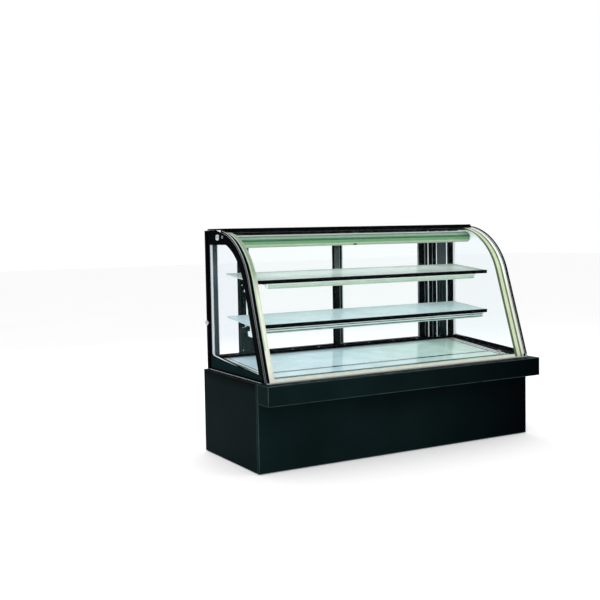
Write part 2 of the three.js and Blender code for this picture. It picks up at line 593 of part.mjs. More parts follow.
// ---- shelves ----
function addShelf(level) {
  const shelf = new THREE.Group();
  shelf.position.set(0, SHELF_FRONT, SHELF_TOPS[level]);
  shelf.rotation.x = SHELF_TILT;
  showcase.add(shelf);
  add(`${level}_shelf_glass`, block(-SHELF_HALF, SHELF_HALF, 3, SHELF_DEPTH, -GLASS_T - 1, -1), AQUA, shelf);
  const nosing = polygon([[-1, -20], [2.5, -20], [2.5, 0], [-1, 0]]);
  add(`${level}_shelf_nosing`, alongX(nosing, -SHELF_HALF, SHELF_HALF), FRAME_BLACK, shelf);
  const under = -GLASS_T - 1 - CLEAR;
  const lamp = polygon([[3, -46], [9, -48], [34, -22], [34, under], [3, under]]);
  add(`${level}_led_bar`, alongX(lamp, -LED_HALF[level], LED_HALF[level]), MINT, shelf);
  addBrackets(level);
}

// A cantilever arm from the upright, its top edge following the shelf's underside.
function addBrackets(level) {
  const drop = (GLASS_T + 1) / Math.cos(SHELF_TILT) + CLEAR;
  const under = (y) => SHELF_TOPS[level] + (y - SHELF_FRONT) * Math.tan(SHELF_TILT) - drop;
  const tip = SHELF_FRONT + 40;
  const root = UPRIGHT.front - CLEAR;
  const arm = polygon([[tip, under(tip) - 14], [root - 60, under(root) - 44], [root, under(root) - 70],
    [root, under(root)], [tip, under(tip)]]);
  for (const [side, sign] of [['left', -1], ['right', 1]]) {
    const x = sign * (UPRIGHT.near + UPRIGHT.far) / 2;
    add(`${level}_${side}_bracket`, alongX(arm, x - 3, x + 3), WHITE);
  }
}

// ---- sliding doors ----
const GROOVE = { depth: 8, half: 2.8 };                    // glazing groove in the door frame
const PULL = { w: 24, depth: 6, z0: 250, z1: 370, inset: 10 };   // finger pull, from the door's corner

function addDoor(side, x0, y) {
  const door = new THREE.Group();
  door.position.set(x0, y, DOOR_BOTTOM);
  showcase.add(door);
  const height = DOOR_TOP - DOOR_BOTTOM;
  const middle = DOOR_T / 2;
  // A block that leaves `edge` mm less than the stiles and rails all round.
  const inside = (edge, y0, y1) =>
    block(STILE - edge, DOOR_W - STILE + edge, y0, y1, DOOR_FOOT - edge, height - DOOR_RAIL + edge);
  const outer = block(0, DOOR_W, 0, DOOR_T, 0, height);
  const groove = inside(GROOVE.depth, middle - GROOVE.half, middle + GROOVE.half);
  const pullX = side === 'left' ? PULL.inset : DOOR_W - PULL.inset - PULL.w;
  const pull = block(pullX, pullX + PULL.w, DOOR_T - PULL.depth, DOOR_T + 1, PULL.z0, PULL.z1);
  add(`${side}_door_frame`, cut(outer, inside(0, -1, DOOR_T + 1), groove, pull), FRAME_BLACK, door);
  const pane = inside(GROOVE.depth - 0.5, middle - GROOVE.half + CLEAR, middle + GROOVE.half - CLEAR);
  add(`${side}_door_glass`, pane, PANE, door);
}

// ---- polished caps on the side glass ----
const CAP = { y: 200, z: 1200 };

function addCaps() {
  const cap = turned([[0, 0], [17, 0], [17, 9], [14, 14], [8, 17], [0, 18]], 24);
  for (const [side, sign] of [['left', -1], ['right', 1]]) {
    const mesh = add(`${side}_glass_cap`, cap, CHROME);
    mesh.position.set(sign * (SIDE_OUT + CLEAR), CAP.y, CAP.z);
    mesh.rotation.y = sign * Math.PI / 2;
  }
}

addBoards();
addBasePlate();
addFeet();
addRearPanel();
addGrille();
addControls();
addCompressor();
addCondenser();
addTray();
addTub();
addEvaporator();
addSideGlass();
addFrontGlass();
addLid();
addLamp();
addCurbs();
addDeck();
addRails();
addPosts();
addShelf('lower');
addShelf('upper');
addDoor('left', DOOR_MEET + DOOR_LAP / 2 - DOOR_W, OUTER_DOOR_Y);
addDoor('right', DOOR_MEET - DOOR_LAP / 2, INNER_DOOR_Y);
addCaps();

export default showcase;
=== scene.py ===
"""Looks for the curved-glass display showcase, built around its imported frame.

Lengths are millimetres in the part's frame: X along the case, the customer's side faces -Y, +Z up.
Solid.make() turns them into metres, which is what every object in the scene holds.
"""

import math

import bmesh
import bpy
from mathutils import Matrix, Vector


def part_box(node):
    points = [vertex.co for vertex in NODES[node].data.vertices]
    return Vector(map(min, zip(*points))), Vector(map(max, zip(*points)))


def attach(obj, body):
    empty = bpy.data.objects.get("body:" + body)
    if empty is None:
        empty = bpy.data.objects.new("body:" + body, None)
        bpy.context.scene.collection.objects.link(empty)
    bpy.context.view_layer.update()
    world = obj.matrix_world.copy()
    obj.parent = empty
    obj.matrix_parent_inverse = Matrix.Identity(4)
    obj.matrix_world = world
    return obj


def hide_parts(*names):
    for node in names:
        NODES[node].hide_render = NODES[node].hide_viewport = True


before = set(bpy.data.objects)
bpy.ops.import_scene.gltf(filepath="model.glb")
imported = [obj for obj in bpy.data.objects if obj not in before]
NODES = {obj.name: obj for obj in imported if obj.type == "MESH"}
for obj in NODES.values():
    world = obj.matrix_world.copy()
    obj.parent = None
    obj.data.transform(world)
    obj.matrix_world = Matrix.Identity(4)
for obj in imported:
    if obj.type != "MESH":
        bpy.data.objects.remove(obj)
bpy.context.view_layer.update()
MM = 0.001
LEVELS = ("lower", "upper")
SIDES = {"left": -1, "right": 1}


def box_of(node):
    """Lowest and highest corner of a CAD node, in millimetres."""
    return [list(corner / MM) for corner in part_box(node)]


# ---- places that several pieces share ----
CURVE_Y = 230.0                 # centre of the front glass's arc
CURVE_Z = 850.0
CURVE_R = 390.0
LEAN = math.radians(18)
ARC_STEPS = 44
GLASS_END = 170.0               # Y where the front glass ends under the lid
PANE = 8.0                      # outer front pane
PRINT_FACE = (PANE + 0.06, PANE + 0.2)    # thin bands on the back of that pane
SHELF_TILT = math.radians(6)
SHELF_FRONT = -45.0
SHELF_TOPS = {"lower": 733.0, "upper": 970.0}
DECK_TILT = math.radians(4.5)
DECK_Z = 480.0

FOOT = box_of("front_glass")[0][2]                       # bottom edge of the front glass
(SIDE_IN, _, _), (SIDE_OUT, CASE_REAR, _) = box_of("right_side_glass")
CASE_TOP = box_of("lid")[0][2] + 27                      # underside of the lid plate
REAR = box_of("rear_panel")[1][1]
SPACER_OUT = box_of("glass_spacer")[1][0]
(_, DECK_FRONT, _), (DECK_HALF, DECK_BACK, _) = box_of("deck_glass")
SHELF_HALF = box_of("lower_shelf_glass")[1][0]
SILL_TOP = box_of("rear_sill")[1][2]


def deck_z(y):
    return DECK_Z + (y - DECK_FRONT) * math.tan(DECK_TILT)


def front_curve(inset, z_foot, y_end, steps=ARC_STEPS):
    """Profile of the front glass, inset from its outer face, from its foot up to y_end."""
    radius = CURVE_R - inset
    start = math.pi - LEAN
    end = math.acos((y_end - CURVE_Y) / radius)
    y0 = CURVE_Y + radius * math.cos(start)
    z0 = CURVE_Z + radius * math.sin(start)
    points = [(y0 - (z0 - z_foot) * math.tan(LEAN), z_foot)]
    for i in range(steps + 1):
        angle = start + (end - start) * i / steps
        points.append((CURVE_Y + radius * math.cos(angle), CURVE_Z + radius * math.sin(angle)))
    return points


def circle(radius, count, start=0.0):
    """Evenly spaced points round a circle, as pairs."""
    angles = [start + 2 * math.pi * i / count for i in range(count)]
    return [(radius * math.cos(a), radius * math.sin(a)) for a in angles]


def rect(x0, x1, z0, z1, inset=0.0):
    """The corners of a rectangle, drawn in by inset."""
    x0, x1, z0, z1 = x0 + inset, x1 - inset, z0 + inset, z1 - inset
    return [(x0, z0), (x1, z0), (x1, z1), (x0, z1)]


def on_side(sign, a, b):
    """The stretch from a to b of X, mirrored where sign is -1, lowest first."""
    return sorted((sign * a, sign * b))


# ---- materials ----
def add_node(tree, kind, inputs=None, **settings):
    """A shader node with its inputs linked to sockets or set to values. A colour is three numbers."""
    made = tree.nodes.new(f"ShaderNode{kind}")
    for key, value in settings.items():
        setattr(made, key, value)
    for key, value in (inputs or {}).items():
        socket = made.inputs[key]
        if isinstance(value, bpy.types.NodeSocket):
            tree.links.new(value, socket)
        else:
            socket.default_value = (*value, 1) if socket.type == "RGBA" else value
    return made


class Finish:
    """A Principled material whose colour, roughness and bump vary over the object's own coordinates."""

    def __init__(self, color, roughness, metallic=0.0, **sockets):
        self.material = bpy.data.materials.new("finish")
        self.material.use_nodes = True
        self.tree = self.material.node_tree
        self.shader = self.tree.nodes["Principled BSDF"]
        sockets.update(Base_Color=color, Roughness=roughness, Metallic=metallic)
        for socket, value in sockets.items():
            value = (*value, 1) if isinstance(value, tuple) else value
            self.shader.inputs[socket.replace("_", " ")].default_value = value
        self.color = self.tint = color
        self.roughness = roughness
        self.place = self.node("TexCoord").outputs["Object"]

    def node(self, kind, inputs=None, **settings):
        return add_node(self.tree, kind, inputs, **settings)

    def link(self, source, socket):
        self.tree.links.new(source, self.shader.inputs[socket])

    def along(self, axis):
        return self.node("SeparateXYZ", {0: self.place}).outputs[axis]

    def math(self, operation, a, b=0.0, c=0.0):
        return self.node("Math", {0: a, 1: b, 2: c}, operation=operation).outputs[0]

    def noise(self, scale, detail=3.0, stretch=(1, 1, 1)):
        """Noise with features about 1 / scale metres across, drawn out where stretch is below 1."""
        place = self.node("Mapping", {"Vector": self.place, "Scale": stretch}).outputs[0]
        return self.node("TexNoise", {"Vector": place, "Scale": scale, "Detail": detail}).outputs["Fac"]

    def between(self, factor, low, high, out_low=0.0, out_high=1.0):
        inputs = {"Value": factor, "From Min": low, "From Max": high, "To Min": out_low, "To Max": out_high}
        return self.node("MapRange", inputs).outputs["Result"]

    def mix(self, factor, a, b):
        return self.node("Mix", {0: factor, 6: a, 7: b}, data_type="RGBA").outputs[2]

    def shade(self, low, high, below=None, above=None, axis="Z"):
        """Blends to another colour below or above a stretch of an axis, in metres."""
        blend = self.between(self.along(axis), low, high)
        self.tint = self.mix(blend, below or self.tint, above or self.tint)
        self.link(self.tint, "Base Color")
        return self

    def vary(self, amount=0.12, scale=8.0, rough=0.06, fine=60.0, bump=0.01, bump_scale=900.0,
             stretch=(1, 1, 1)):
        """Broad colour drift, smudged roughness and a fine surface texture `bump` millimetres high."""
        low = tuple(c * (1 - amount) for c in self.color)
        high = tuple(min(c * (1 + amount), 1) for c in self.color)
        self.tint = self.mix(self.between(self.noise(scale, 4, stretch), 0.3, 0.7), low, high)
        self.link(self.tint, "Base Color")
        smudge = self.between(self.noise(fine, 5, stretch), 0.3, 0.7, max(self.roughness - rough, 0.02),
                              self.roughness + rough)
        self.link(smudge, "Roughness")
        if bump:
            inputs = {"Height": self.noise(bump_scale, 2, stretch), "Distance": bump * MM, "Strength": 1.0}
            self.link(self.node("Bump", inputs).outputs[0], "Normal")
        return self

    def height_bands(self, bands):
        """Colours by height: (z in millimetres, colour) pairs, each holding up to the next one's z."""
        z = self.along("Z")
        tint = bands[0][1]
        for level, color in bands[1:]:
            tint = self.mix(self.between(z, (level - 0.8) * MM, (level + 0.8) * MM), tint, color)
        cloud = self.between(self.noise(25, 3), 0.25, 0.75, 0.88, 1.06)
        shaded = self.node("VectorMath", {0: tint, 1: cloud}, operation="MULTIPLY")
        self.link(shaded.outputs[0], "Base Color")
        return self


def plain(color, roughness, metallic=0.0, sockets=None, **variation):
    return Finish(color, roughness, metallic, **(sockets or {})).vary(**variation)


def shine(level):
    return {"Specular_IOR_Level": level}


def glow(color, strength):
    return {"Emission_Color": color, "Emission_Strength": strength}


def board(node):
    """Dark lacquered board, with a patchy painted highlight along its edges, and painted shade towards +X on
    the front boards and at the top of the side panels.
    """
    low, high = (Vector(c) * MM for c in box_of(node))
    # worn is the colour of a painted highlight along the edges; the third entry is where painted shade sets
    # in, along X on the front boards.
    color, worn, painted_shade_span = (0.0040, 0.0102, 0.0108), (0.030, 0.052, 0.057), (-0.3, 0.9, "X")
    # The side panels take darker copies of both colours, painted shade, and their painted shade sets in near
    # the top.
    if "side" in node:
        color, worn, painted_shade_span = (0.0032, 0.00816, 0.00864), (0.0135, 0.0234, 0.02565), (0.41, 0.46, "Z")
    texture = {"fine": 9.0, "bump": 0.02, "bump_scale": 260.0}
    finish = plain(color, 0.34, 0.0, shine(0.004), amount=0.25, scale=2.2, rough=0.07, **texture)
    # Painted shade: darker past the stretch given for it above.
    finish.shade(*painted_shade_span[:2], above=(0.0002, 0.0010, 0.0014), axis=painted_shade_span[2])
    near_faces = 0.0
    for axis in range(3):
        offset = finish.math("SUBTRACT", finish.along(axis), (low[axis] + high[axis]) / 2)
        depth = finish.math("SUBTRACT", (high[axis] - low[axis]) / 2, finish.math("ABSOLUTE", offset))
        near_faces = finish.math("ADD", finish.between(depth, 0.0045, 0.0025), near_faces)
    edge = finish.math("MINIMUM", finish.math("MAXIMUM", finish.math("SUBTRACT", near_faces, 1.0), 0.0), 1.0)
    # A patchy painted highlight along the edges, in the worn colour.
    patchy_edge_highlight = finish.math("MULTIPLY", edge, finish.between(finish.noise(14, 4), 0.3, 0.6, 0.35, 1.0))
    finish.link(finish.mix(patchy_edge_highlight, finish.tint, worn), "Base Color")
    return finish


def glass(tint, haze, haze_color, straight=0.01, glance=0.25, painted_reflection_tint=None, light=0.0):
    """Thin glass: what is behind it shows through, and it mirrors more at a glancing angle. Its haze glows by
    light, painted light, and it can turn towards a second colour along +X, a painted reflection.
    """
    # The haze's glow, set by light, is painted light.
    finish = Finish(haze_color, 0.4, **shine(0.0), **glow(haze_color, light))
    # Painted reflection: the haze turns towards the second colour along +X.
    if painted_reflection_tint:
        finish.shade(-0.2, 0.7, above=painted_reflection_tint, axis="X")
    facing = finish.node("LayerWeight", {"Blend": 0.5}).outputs["Facing"]
    mirror = finish.math("MULTIPLY_ADD", finish.math("POWER", facing, 5.0), glance, straight)
    clear = finish.node("BsdfTransparent", {"Color": tint})
    gloss = finish.node("BsdfGlossy", {"Color": (1, 1, 1), "Roughness": 0.01})
    film = finish.between(finish.noise(7, 5), 0.3, 0.75, haze * 0.8, min(haze * 1.15, 1))
    dusty = finish.node("MixShader", {0: film, 1: clear.outputs[0], 2: finish.shader.outputs[0]})
    pane = finish.node("MixShader", {0: mirror, 1: dusty.outputs[0], 2: gloss.outputs[0]})
    finish.tree.links.new(pane.outputs[0], finish.tree.nodes["Material Output"].inputs["Surface"])
    return finish


def zinc():
    finish = plain((0.47, 0.49, 0.50), 0.38, 0.9, scale=5, rough=0.08, fine=40, bump_scale=500)
    spangle = finish.node("TexVoronoi", {"Vector": finish.place, "Scale": 70.0})
    finish.link(finish.between(spangle.outputs["Distance"], 0.0, 0.6, 0.26, 0.5), "Roughness")
    return finish


def slate(painted_shade_below):
    """Slate paint, with painted shade below the upper shelf, away from the lamp, in the given dark colour."""
    finish = plain((0.066, 0.078, 0.083), 0.42, 0.0, shine(0.03), scale=5, fine=40, stretch=(1, 1, 0.2))
    return finish.shade(0.93, 1.0, below=painted_shade_below)


def upright():
    """Dark teal, mottled and paler below the lower shelf."""
    finish = plain((0.0030, 0.0085, 0.0078), 0.4, 0.0, shine(0.01), bump=0.012, bump_scale=1400)
    patches = finish.between(finish.noise(240, 3), 0.35, 0.65)
    return finish.shade(0.68, 0.70, below=finish.mix(patches, (0.007, 0.016, 0.016), (0.034, 0.052, 0.050)))


def ground_edge():
    """Ground glass end: a painted highlight up by the lid, painted shade lower down."""
    finish = plain((0.22, 0.25, 0.25), 0.2, 0.1, amount=0.1, rough=0.05, bump_scale=300)
    return finish.shade(0.55, 0.95, below=(0.07, 0.085, 0.085)).shade(1.06, 1.2, above=(0.62, 0.66, 0.64))


def striped(bands, light):
    light = glow((0.82, 1.0, 0.88), light)
    return plain((0.4, 0.5, 0.42), 0.35, 0.0, light, rough=0.08, fine=30, bump_scale=400).height_bands(bands)


def led_bar(level):
    top = SHELF_TOPS[level]
    tints = {"upper": ((0.32, 0.46, 0.35), (0.42, 0.55, 0.43), (0.75, 0.82, 0.76)),
             "lower": ((0.42, 0.56, 0.50), (0.62, 0.72, 0.68), (0.78, 0.85, 0.82))}[level]
    drops = {"upper": 40, "lower": 36}
    return striped(list(zip((0, top - drops[level], top - 25), tints)), 0.05)


DARK_LAMP = (0.02, 0.13, 0.05)
FINISHES = {
    "frame": plain((0.0014, 0.0022, 0.0025), 0.38, 0.0, shine(0.003), bump=0.012, bump_scale=1400),
    "print": plain((0.0012, 0.0016, 0.0022), 0.2, 0.0, shine(0.003), rough=0.03, bump=0.004),
    "upright": upright(),
    "guide": plain((0.020, 0.033, 0.032), 0.6, 0.0, shine(0.02), amount=0.75, scale=260.0, bump=0.1),
    # print_back glows: painted light on the pale inside print.
    "print_back": plain((0.88, 0.92, 0.95), 0.3, 0.0, glow((0.92, 0.96, 1.0), 0.45), amount=0.02, bump=0.004),
    "edge": ground_edge(),
    "green_edge": plain((0.03, 0.11, 0.06), 0.14, rough=0.05),
    "pale_edge": plain((0.52, 0.72, 0.66), 0.15, rough=0.05),
    "teal": plain((0.03, 0.12, 0.115), 0.15, rough=0.05),
    "sheet": plain((0.018, 0.021, 0.022), 0.5, bump=0.05, bump_scale=1800),
    # The colours given to slate are painted shade below the upper shelf.
    "slate_sheet": slate((0.003, 0.006, 0.006)),
    "duct": slate((0.004, 0.013, 0.014)),
    "slim_post": slate((0.045, 0.066, 0.070)),
    "liner": plain((0.62, 0.64, 0.64), 0.45, amount=0.05, bump=0.03, bump_scale=300),
    "steel": plain((0.55, 0.56, 0.57), 0.28, 1.0, stretch=(0.04, 1, 1), fine=300),
    "fin": plain((0.70, 0.72, 0.73), 0.32, 0.95, amount=0.1),
    "compressor": plain((0.012, 0.012, 0.013), 0.36, bump=0.06, bump_scale=600),
    "fan_metal": plain((0.5, 0.51, 0.52), 0.3, 0.9),
    "fan_white": plain((0.78, 0.79, 0.77), 0.42, amount=0.05, bump=0.02),
    "chrome": plain((0.50, 0.55, 0.55), 0.09, 1.0, amount=0.03, rough=0.04, bump=0.002),
    "chrome_dim": plain((0.20, 0.25, 0.25), 0.14, 1.0, amount=0.05, bump=0.002),
    # cream turns darker and greener towards the top: painted shade.
    "cream": plain((0.78, 0.77, 0.64), 0.5, amount=0.06, scale=20, bump=0.03, bump_scale=1500,
                   stretch=(1, 1, 0.3)).shade(0.88, 1.02, above=(0.25, 0.31, 0.21)),
    # bright_seal glows: painted light.
    "bright_seal": plain((0.85, 0.88, 0.86), 0.5, 0.0, glow((0.9, 1.0, 0.97), 0.3), amount=0.04, bump=0.02),
    # pale_seal glows and turns paler towards the top: painted light.
    "pale_seal": plain((0.64, 0.66, 0.57), 0.5, 0.0, glow((0.92, 0.97, 0.90), 0.15), amount=0.06, scale=20,
                       bump=0.02, bump_scale=1200, stretch=(1, 1, 0.3)
                       ).shade(0.80, 0.98, above=(0.88, 0.90, 0.88)),
    "cream_band": plain((0.58, 0.66, 0.42), 0.45, amount=0.08, bump=0.02),
    "kick": plain((0.0013, 0.0120, 0.0126), 0.3, 0.0, shine(0.003), amount=0.2, scale=12.0),
    "cream_line": plain((0.42, 0.53, 0.40), 0.4, amount=0.1, bump=0.02),
    "olive": plain((0.12, 0.16, 0.07), 0.35, bump=0.02),
    "sealant": plain((0.025, 0.055, 0.03), 0.3, amount=0.2, bump=0.03),
    "sealant_mid": plain((0.055, 0.09, 0.038), 0.3, amount=0.15, bump=0.03),
    "silicone": plain((0.24, 0.27, 0.27), 0.35, amount=0.1, bump=0.05, bump_scale=200),
    "white_trim": plain((0.80, 0.84, 0.82), 0.35, amount=0.04),
    "bracket": plain((0.76, 0.79, 0.75), 0.38, amount=0.05, bump=0.02),
    "plastic": plain((0.014, 0.015, 0.016), 0.48, bump=0.05, bump_scale=1200),
    "rubber": plain((0.02, 0.02, 0.021), 0.7, bump=0.06, bump_scale=700),
    "brush": plain((0.66, 0.69, 0.66), 0.8, amount=0.15, bump=0.3, bump_scale=1500, stretch=(1, 1, 0.05)),
    "nylon": plain((0.74, 0.75, 0.72), 0.4, amount=0.05, bump=0.02),
    "copper": plain((0.72, 0.33, 0.18), 0.3, 1.0, amount=0.15, scale=30),
    "brass": plain((0.66, 0.48, 0.20), 0.3, 1.0),
    "foam": plain((0.022, 0.022, 0.023), 0.85, bump=0.3, bump_scale=400),
    "wire_red": plain((0.45, 0.03, 0.02), 0.45),
    "wire_blue": plain((0.03, 0.10, 0.40), 0.45),
    "button": plain((0.74, 0.76, 0.74), 0.4, amount=0.04),
    "green": plain((0.03, 0.33, 0.10), 0.3, 0.0, {"Coat_Weight": 0.3}),
    "amber": plain((0.72, 0.28, 0.03), 0.3, 0.0, {"Coat_Weight": 0.3}),
    "display": plain((0.02, 0.004, 0.004), 0.1, 0.0, {"Coat_Weight": 0.5}, bump=0.002),
    "diode": plain((0.80, 0.72, 0.30), 0.4, amount=0.05),
    "zinc": zinc(),
    "clear": glass((0.99, 0.998, 0.998), 0.0005, (0.80, 0.86, 0.90), 0.0005, 0.02),
    "side": glass((0.970, 0.983, 0.994), 0.0010, (0.78, 0.86, 0.95), 0.0005, 0.03),
    # The lower shelf glass glows: painted light. The upper shelf glass is a darker copy of it: painted shade.
    "shelf": glass((0.92, 0.985, 0.965), 0.75, (0.71, 0.84, 0.87), 0.02, 0.2, light=0.07),
    "upper_shelf": glass((0.92, 0.985, 0.965), 0.66, (0.53, 0.58, 0.55), 0.02, 0.2),
    # The deck glass glows, painted light, and turns greener towards +X, a painted reflection.
    "deck": glass((0.80, 0.94, 0.92), 0.82, (0.75, 0.91, 0.96), 0.03, 0.45, (0.72, 0.90, 0.78), 0.05),
    "lens": striped([(1100, DARK_LAMP), (1185, (0.21, 0.365, 0.235)), (1195, (0.14, 0.25, 0.155)),
                     (1200, (0.62, 0.72, 0.62))], 0.02),
    "lamp": striped([(1100, (0.40, 0.50, 0.37)), (1156, (0.135, 0.33, 0.14)), (1173, DARK_LAMP)], 0.0),
}
for finish_name, made_finish in FINISHES.items():
    made_finish.material.name = finish_name


def placed(name, data):
    """An object for the data, linked into the scene."""
    made = bpy.data.objects.new(name, data)
    bpy.context.scene.collection.objects.link(made)
    return made


# ---- solids ----
class Solid:
    """Closed shapes gathered in one mesh, in millimetres until make()."""

    def __init__(self):
        self.bm = bmesh.new()

    def skin(self, rows):
        for row, following in zip(rows, rows[1:]):
            for i in range(len(row)):
                self.bm.faces.new((row[i - 1], row[i], following[i], following[i - 1]))

    def loops(self, rings, capped=True):
        """Skins a list of equally long closed rings, with a face over each end or joined end to end."""
        rows = [[self.bm.verts.new(p) for p in ring] for ring in rings]
        if capped:
            self.bm.faces.new(rows[0][::-1])
            self.bm.faces.new(rows[-1])
        else:
            rows.append(rows[0])
        self.skin(rows)
        return self

    def drawn(self, outlines, axis, capped=True):
        """Skins (outline, place along axis) pairs. An outline's pairs are the other two axes, in order."""
        rings = [[[*p[:axis], along, *p[axis:]] for p in outline] for outline, along in outlines]
        return self.loops(rings, capped)

    def prism(self, outline, axis, a, b):
        return self.drawn([(outline, a), (outline, b)], axis)

    def box(self, x0, x1, y0, y1, z0, z1):
        return self.prism(rect(x0, x1, y0, y1), 2, z0, z1)

    def eased(self, x0, x1, y0, y1, z0, z1, r=1.0):
        """A box whose upright edges are rounded."""
        outline = []
        for quarter, (cx, cy) in enumerate(rect(x0, x1, y0, y1, r)):
            start = math.radians(180 + 90 * quarter)
            outline += [(cx + x, cy + y) for x, y in circle(r, 12, start)[:4]]
        return self.prism(outline, 2, z0, z1)

    def frame(self, outer, inner, axis, a, b):
        """A plate with a window: two outlines with as many points each."""
        return self.drawn([(outer, a), (outer, b), (inner, b), (inner, a)], axis, capped=False)

    def turned(self, profile, origin, axis=(0, 0, 1), sides=28):
        """[radius, height] pairs turned about axis through origin. The first and last lie on the axis."""
        turn = Vector((0, 0, 1)).rotation_difference(Vector(axis)).to_matrix().to_4x4()
        place = Matrix.Translation(origin) @ turn
        rows = [[self.bm.verts.new(place @ Vector((x, y, height))) for x, y in circle(radius, sides)]
                for radius, height in profile[1:-1]]
        for row, tip in ((rows[0], profile[0]), (rows[-1], profile[-1])):
            point = self.bm.verts.new(place @ Vector((0, 0, tip[1])))
            for i in range(sides):
                self.bm.faces.new((point, row[i], row[i - 1]))
        self.skin(rows)
        return self

    def rod(self, radius, start, length, axis=(0, 0, 1), chamfer=0.4, sides=24):
        c = min(chamfer, radius * 0.3, length * 0.3)
        profile = [(0, 0), (radius - c, 0), (radius, c), (radius, length - c), (radius - c, length),
                   (0, length)]
        return self.turned(profile, start, axis, sides)

    def screw(self, place, axis, r=4.0):
        """A pan head with a round socket, its seat at place."""
        profile = [(0, -0.4), (r, -0.4), (r, 0.25 * r), (0.85 * r, 0.5 * r), (0.55 * r, 0.62 * r),
                   (0.36 * r, 0.62 * r), (0.32 * r, 0.25 * r), (0, 0.25 * r)]
        return self.turned(profile, place, axis, 18)

    def tube(self, points, radius, sides=12, round_off=0.0):
        """A round bar along a path of points, its corners rounded off by curved stretches."""
        path = rounded(points, round_off) if round_off else [Vector(p) for p in points]
        rings = []
        side = None
        for i, point in enumerate(path):
            ahead = (path[min(i + 1, len(path) - 1)] - path[max(i - 1, 0)]).normalized()
            if side is None:
                side = ahead.orthogonal().normalized()
            side = (side - ahead * side.dot(ahead)).normalized()
            other = ahead.cross(side)
            rings.append([point + side * u + other * v for u, v in circle(radius, sides)])
        return self.loops(rings)

    def band(self, outer, inner, x0, x1, z_foot=None, y_end=GLASS_END):
        """A strip between two insets from the front glass's outer face."""
        foot = FOOT if z_foot is None else z_foot
        outline = front_curve(outer, foot, y_end) + front_curve(inner, foot, y_end)[::-1]
        return self.prism(outline, 0, x0, x1)

    def shift(self, matrix):
        bmesh.ops.transform(self.bm, matrix=matrix, verts=self.bm.verts)
        return self

    def make(self, name, finish, body="cabinet", stands_for=None, slot=None, bevel=0.0):
        bmesh.ops.recalc_face_normals(self.bm, faces=self.bm.faces)
        bmesh.ops.scale(self.bm, vec=(MM, MM, MM), verts=self.bm.verts)
        mesh = bpy.data.meshes.new(name)
        self.bm.to_mesh(mesh)
        self.bm.free()
        mesh.materials.append(FINISHES[finish].material)
        mesh.polygons.foreach_set("use_smooth", [True] * len(mesh.polygons))
        mesh.set_sharp_from_angle(angle=math.radians(32))
        piece = placed(name, mesh)
        if bevel:
            ease_edges(piece, bevel)
        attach(piece, body)
        if stands_for:
            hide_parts(stands_for)


def ease_edges(piece, width):
    edges = piece.modifiers.new("eased edges", "BEVEL")
    edges.width = width * MM
    edges.segments = 2
    edges.limit_method = "ANGLE"
    edges.angle_limit = math.radians(40)


def rounded(points, radius):
    """The path with each corner replaced by a curve that starts and ends `radius` from it."""
    path = [Vector(p) for p in points]
    out = [path[0]]
    for before, corner, after in zip(path, path[1:], path[2:]):
        back, ahead = before - corner, after - corner
        reach = min(radius, back.length * 0.49, ahead.length * 0.49)
        start = corner + back.normalized() * reach
        end = corner + ahead.normalized() * reach
        for t in (i / 6 for i in range(7)):
            out.append(start * (1 - t) ** 2 + corner * 2 * t * (1 - t) + end * t * t)
    return out + [path[-1]]


def boxes(name, finish, *spans, body="cabinet", bevel=0.0, place=None):
    """One piece made of boxes, each given as its X, Y and Z stretches."""
    solid = Solid()
    for span in spans:
        solid.box(*span)
    if place:
        solid.shift(place)
    solid.make(name, finish, body, bevel=bevel)


def screws(name, places, axis, r, finish="steel"):
    solid = Solid()
    for place in places:
        solid.screw(place, axis, r)
    solid.make(name, finish)


def rim(name, x, z, outer, inner, y0, y1, body="cabinet", bevel=0.7):
    """A flat frame round an opening in the rear face, its outlines given as half width and half height."""
    outlines = [rect(x - w, x + w, z - h, z + h) for w, h in (outer, inner)]
    Solid().frame(*outlines, 1, y0, y1).make(name, "plastic", body, bevel=bevel)


# ---- CAD nodes that keep their shape ----
# Each line is a finish and the nodes that wear it.
KEPT = """frame lid left_curb right_curb rear_sill top_track right_upright left_door_frame right_door_frame
frame lower_shelf_nosing upper_shelf_nosing
duct right_corner_duct
upright left_upright
sheet rear_panel rear_grille condenser_shroud
zinc base_plate fan_plate
liner tub
side left_side_glass right_side_glass
clear left_door_glass right_door_glass
shelf lower_shelf_glass
upper_shelf upper_shelf_glass
deck deck_glass
lamp lamp_housing
lens lamp_diffuser
bracket lower_left_bracket lower_right_bracket upper_left_bracket upper_right_bracket
plastic control_box power_inlet condensate_tray
button up_button down_button
green power_switch
amber light_switch"""
# Each line is a width in millimetres and the nodes whose edges are eased by it.
EASED = """1.5 lid ledge
1.2 front_panel left_side_panel right_side_panel
1.0 deck_glass lower_shelf_glass upper_shelf_glass right_corner_duct
0.8 lower_shelf_nosing upper_shelf_nosing left_curb right_curb
0.6 left_side_glass right_side_glass up_button down_button power_switch light_switch
0.6 lower_left_bracket lower_right_bracket upper_left_bracket upper_right_bracket"""


def dress_nodes():
    """A finish for each CAD node that stays, and eased edges where it is a sheet or a section."""
    worn = {name: FINISHES[finish] for finish, *names in map(str.split, KEPT.splitlines()) for name in names}
    boards = "front_panel left_side_panel right_side_panel ledge".split()
    worn.update({name: board(name) for name in boards})
    worn.update({f"{level}_led_bar": led_bar(level) for level in LEVELS})
    for name, finish in worn.items():
        NODES[name].data.materials[0] = finish.material
    for width, *names in map(str.split, EASED.splitlines()):
        for name in names:
            weld = NODES[name].modifiers.new("joined corners", "WELD")
            weld.merge_threshold = 1e-5
            merge = NODES[name].modifiers.new("whole faces", "DECIMATE")
            merge.decimate_type = "DISSOLVE"
            merge.angle_limit = math.radians(0.5)
            ease_edges(NODES[name], float(width))


# ---- front glass and its printed borders ----
SPACER_WIDTH = 30.0
SPACER_DEPTH = 12.0             # between the two panes
SPACER_FOOT = 15.0              # its height along the bottom edge


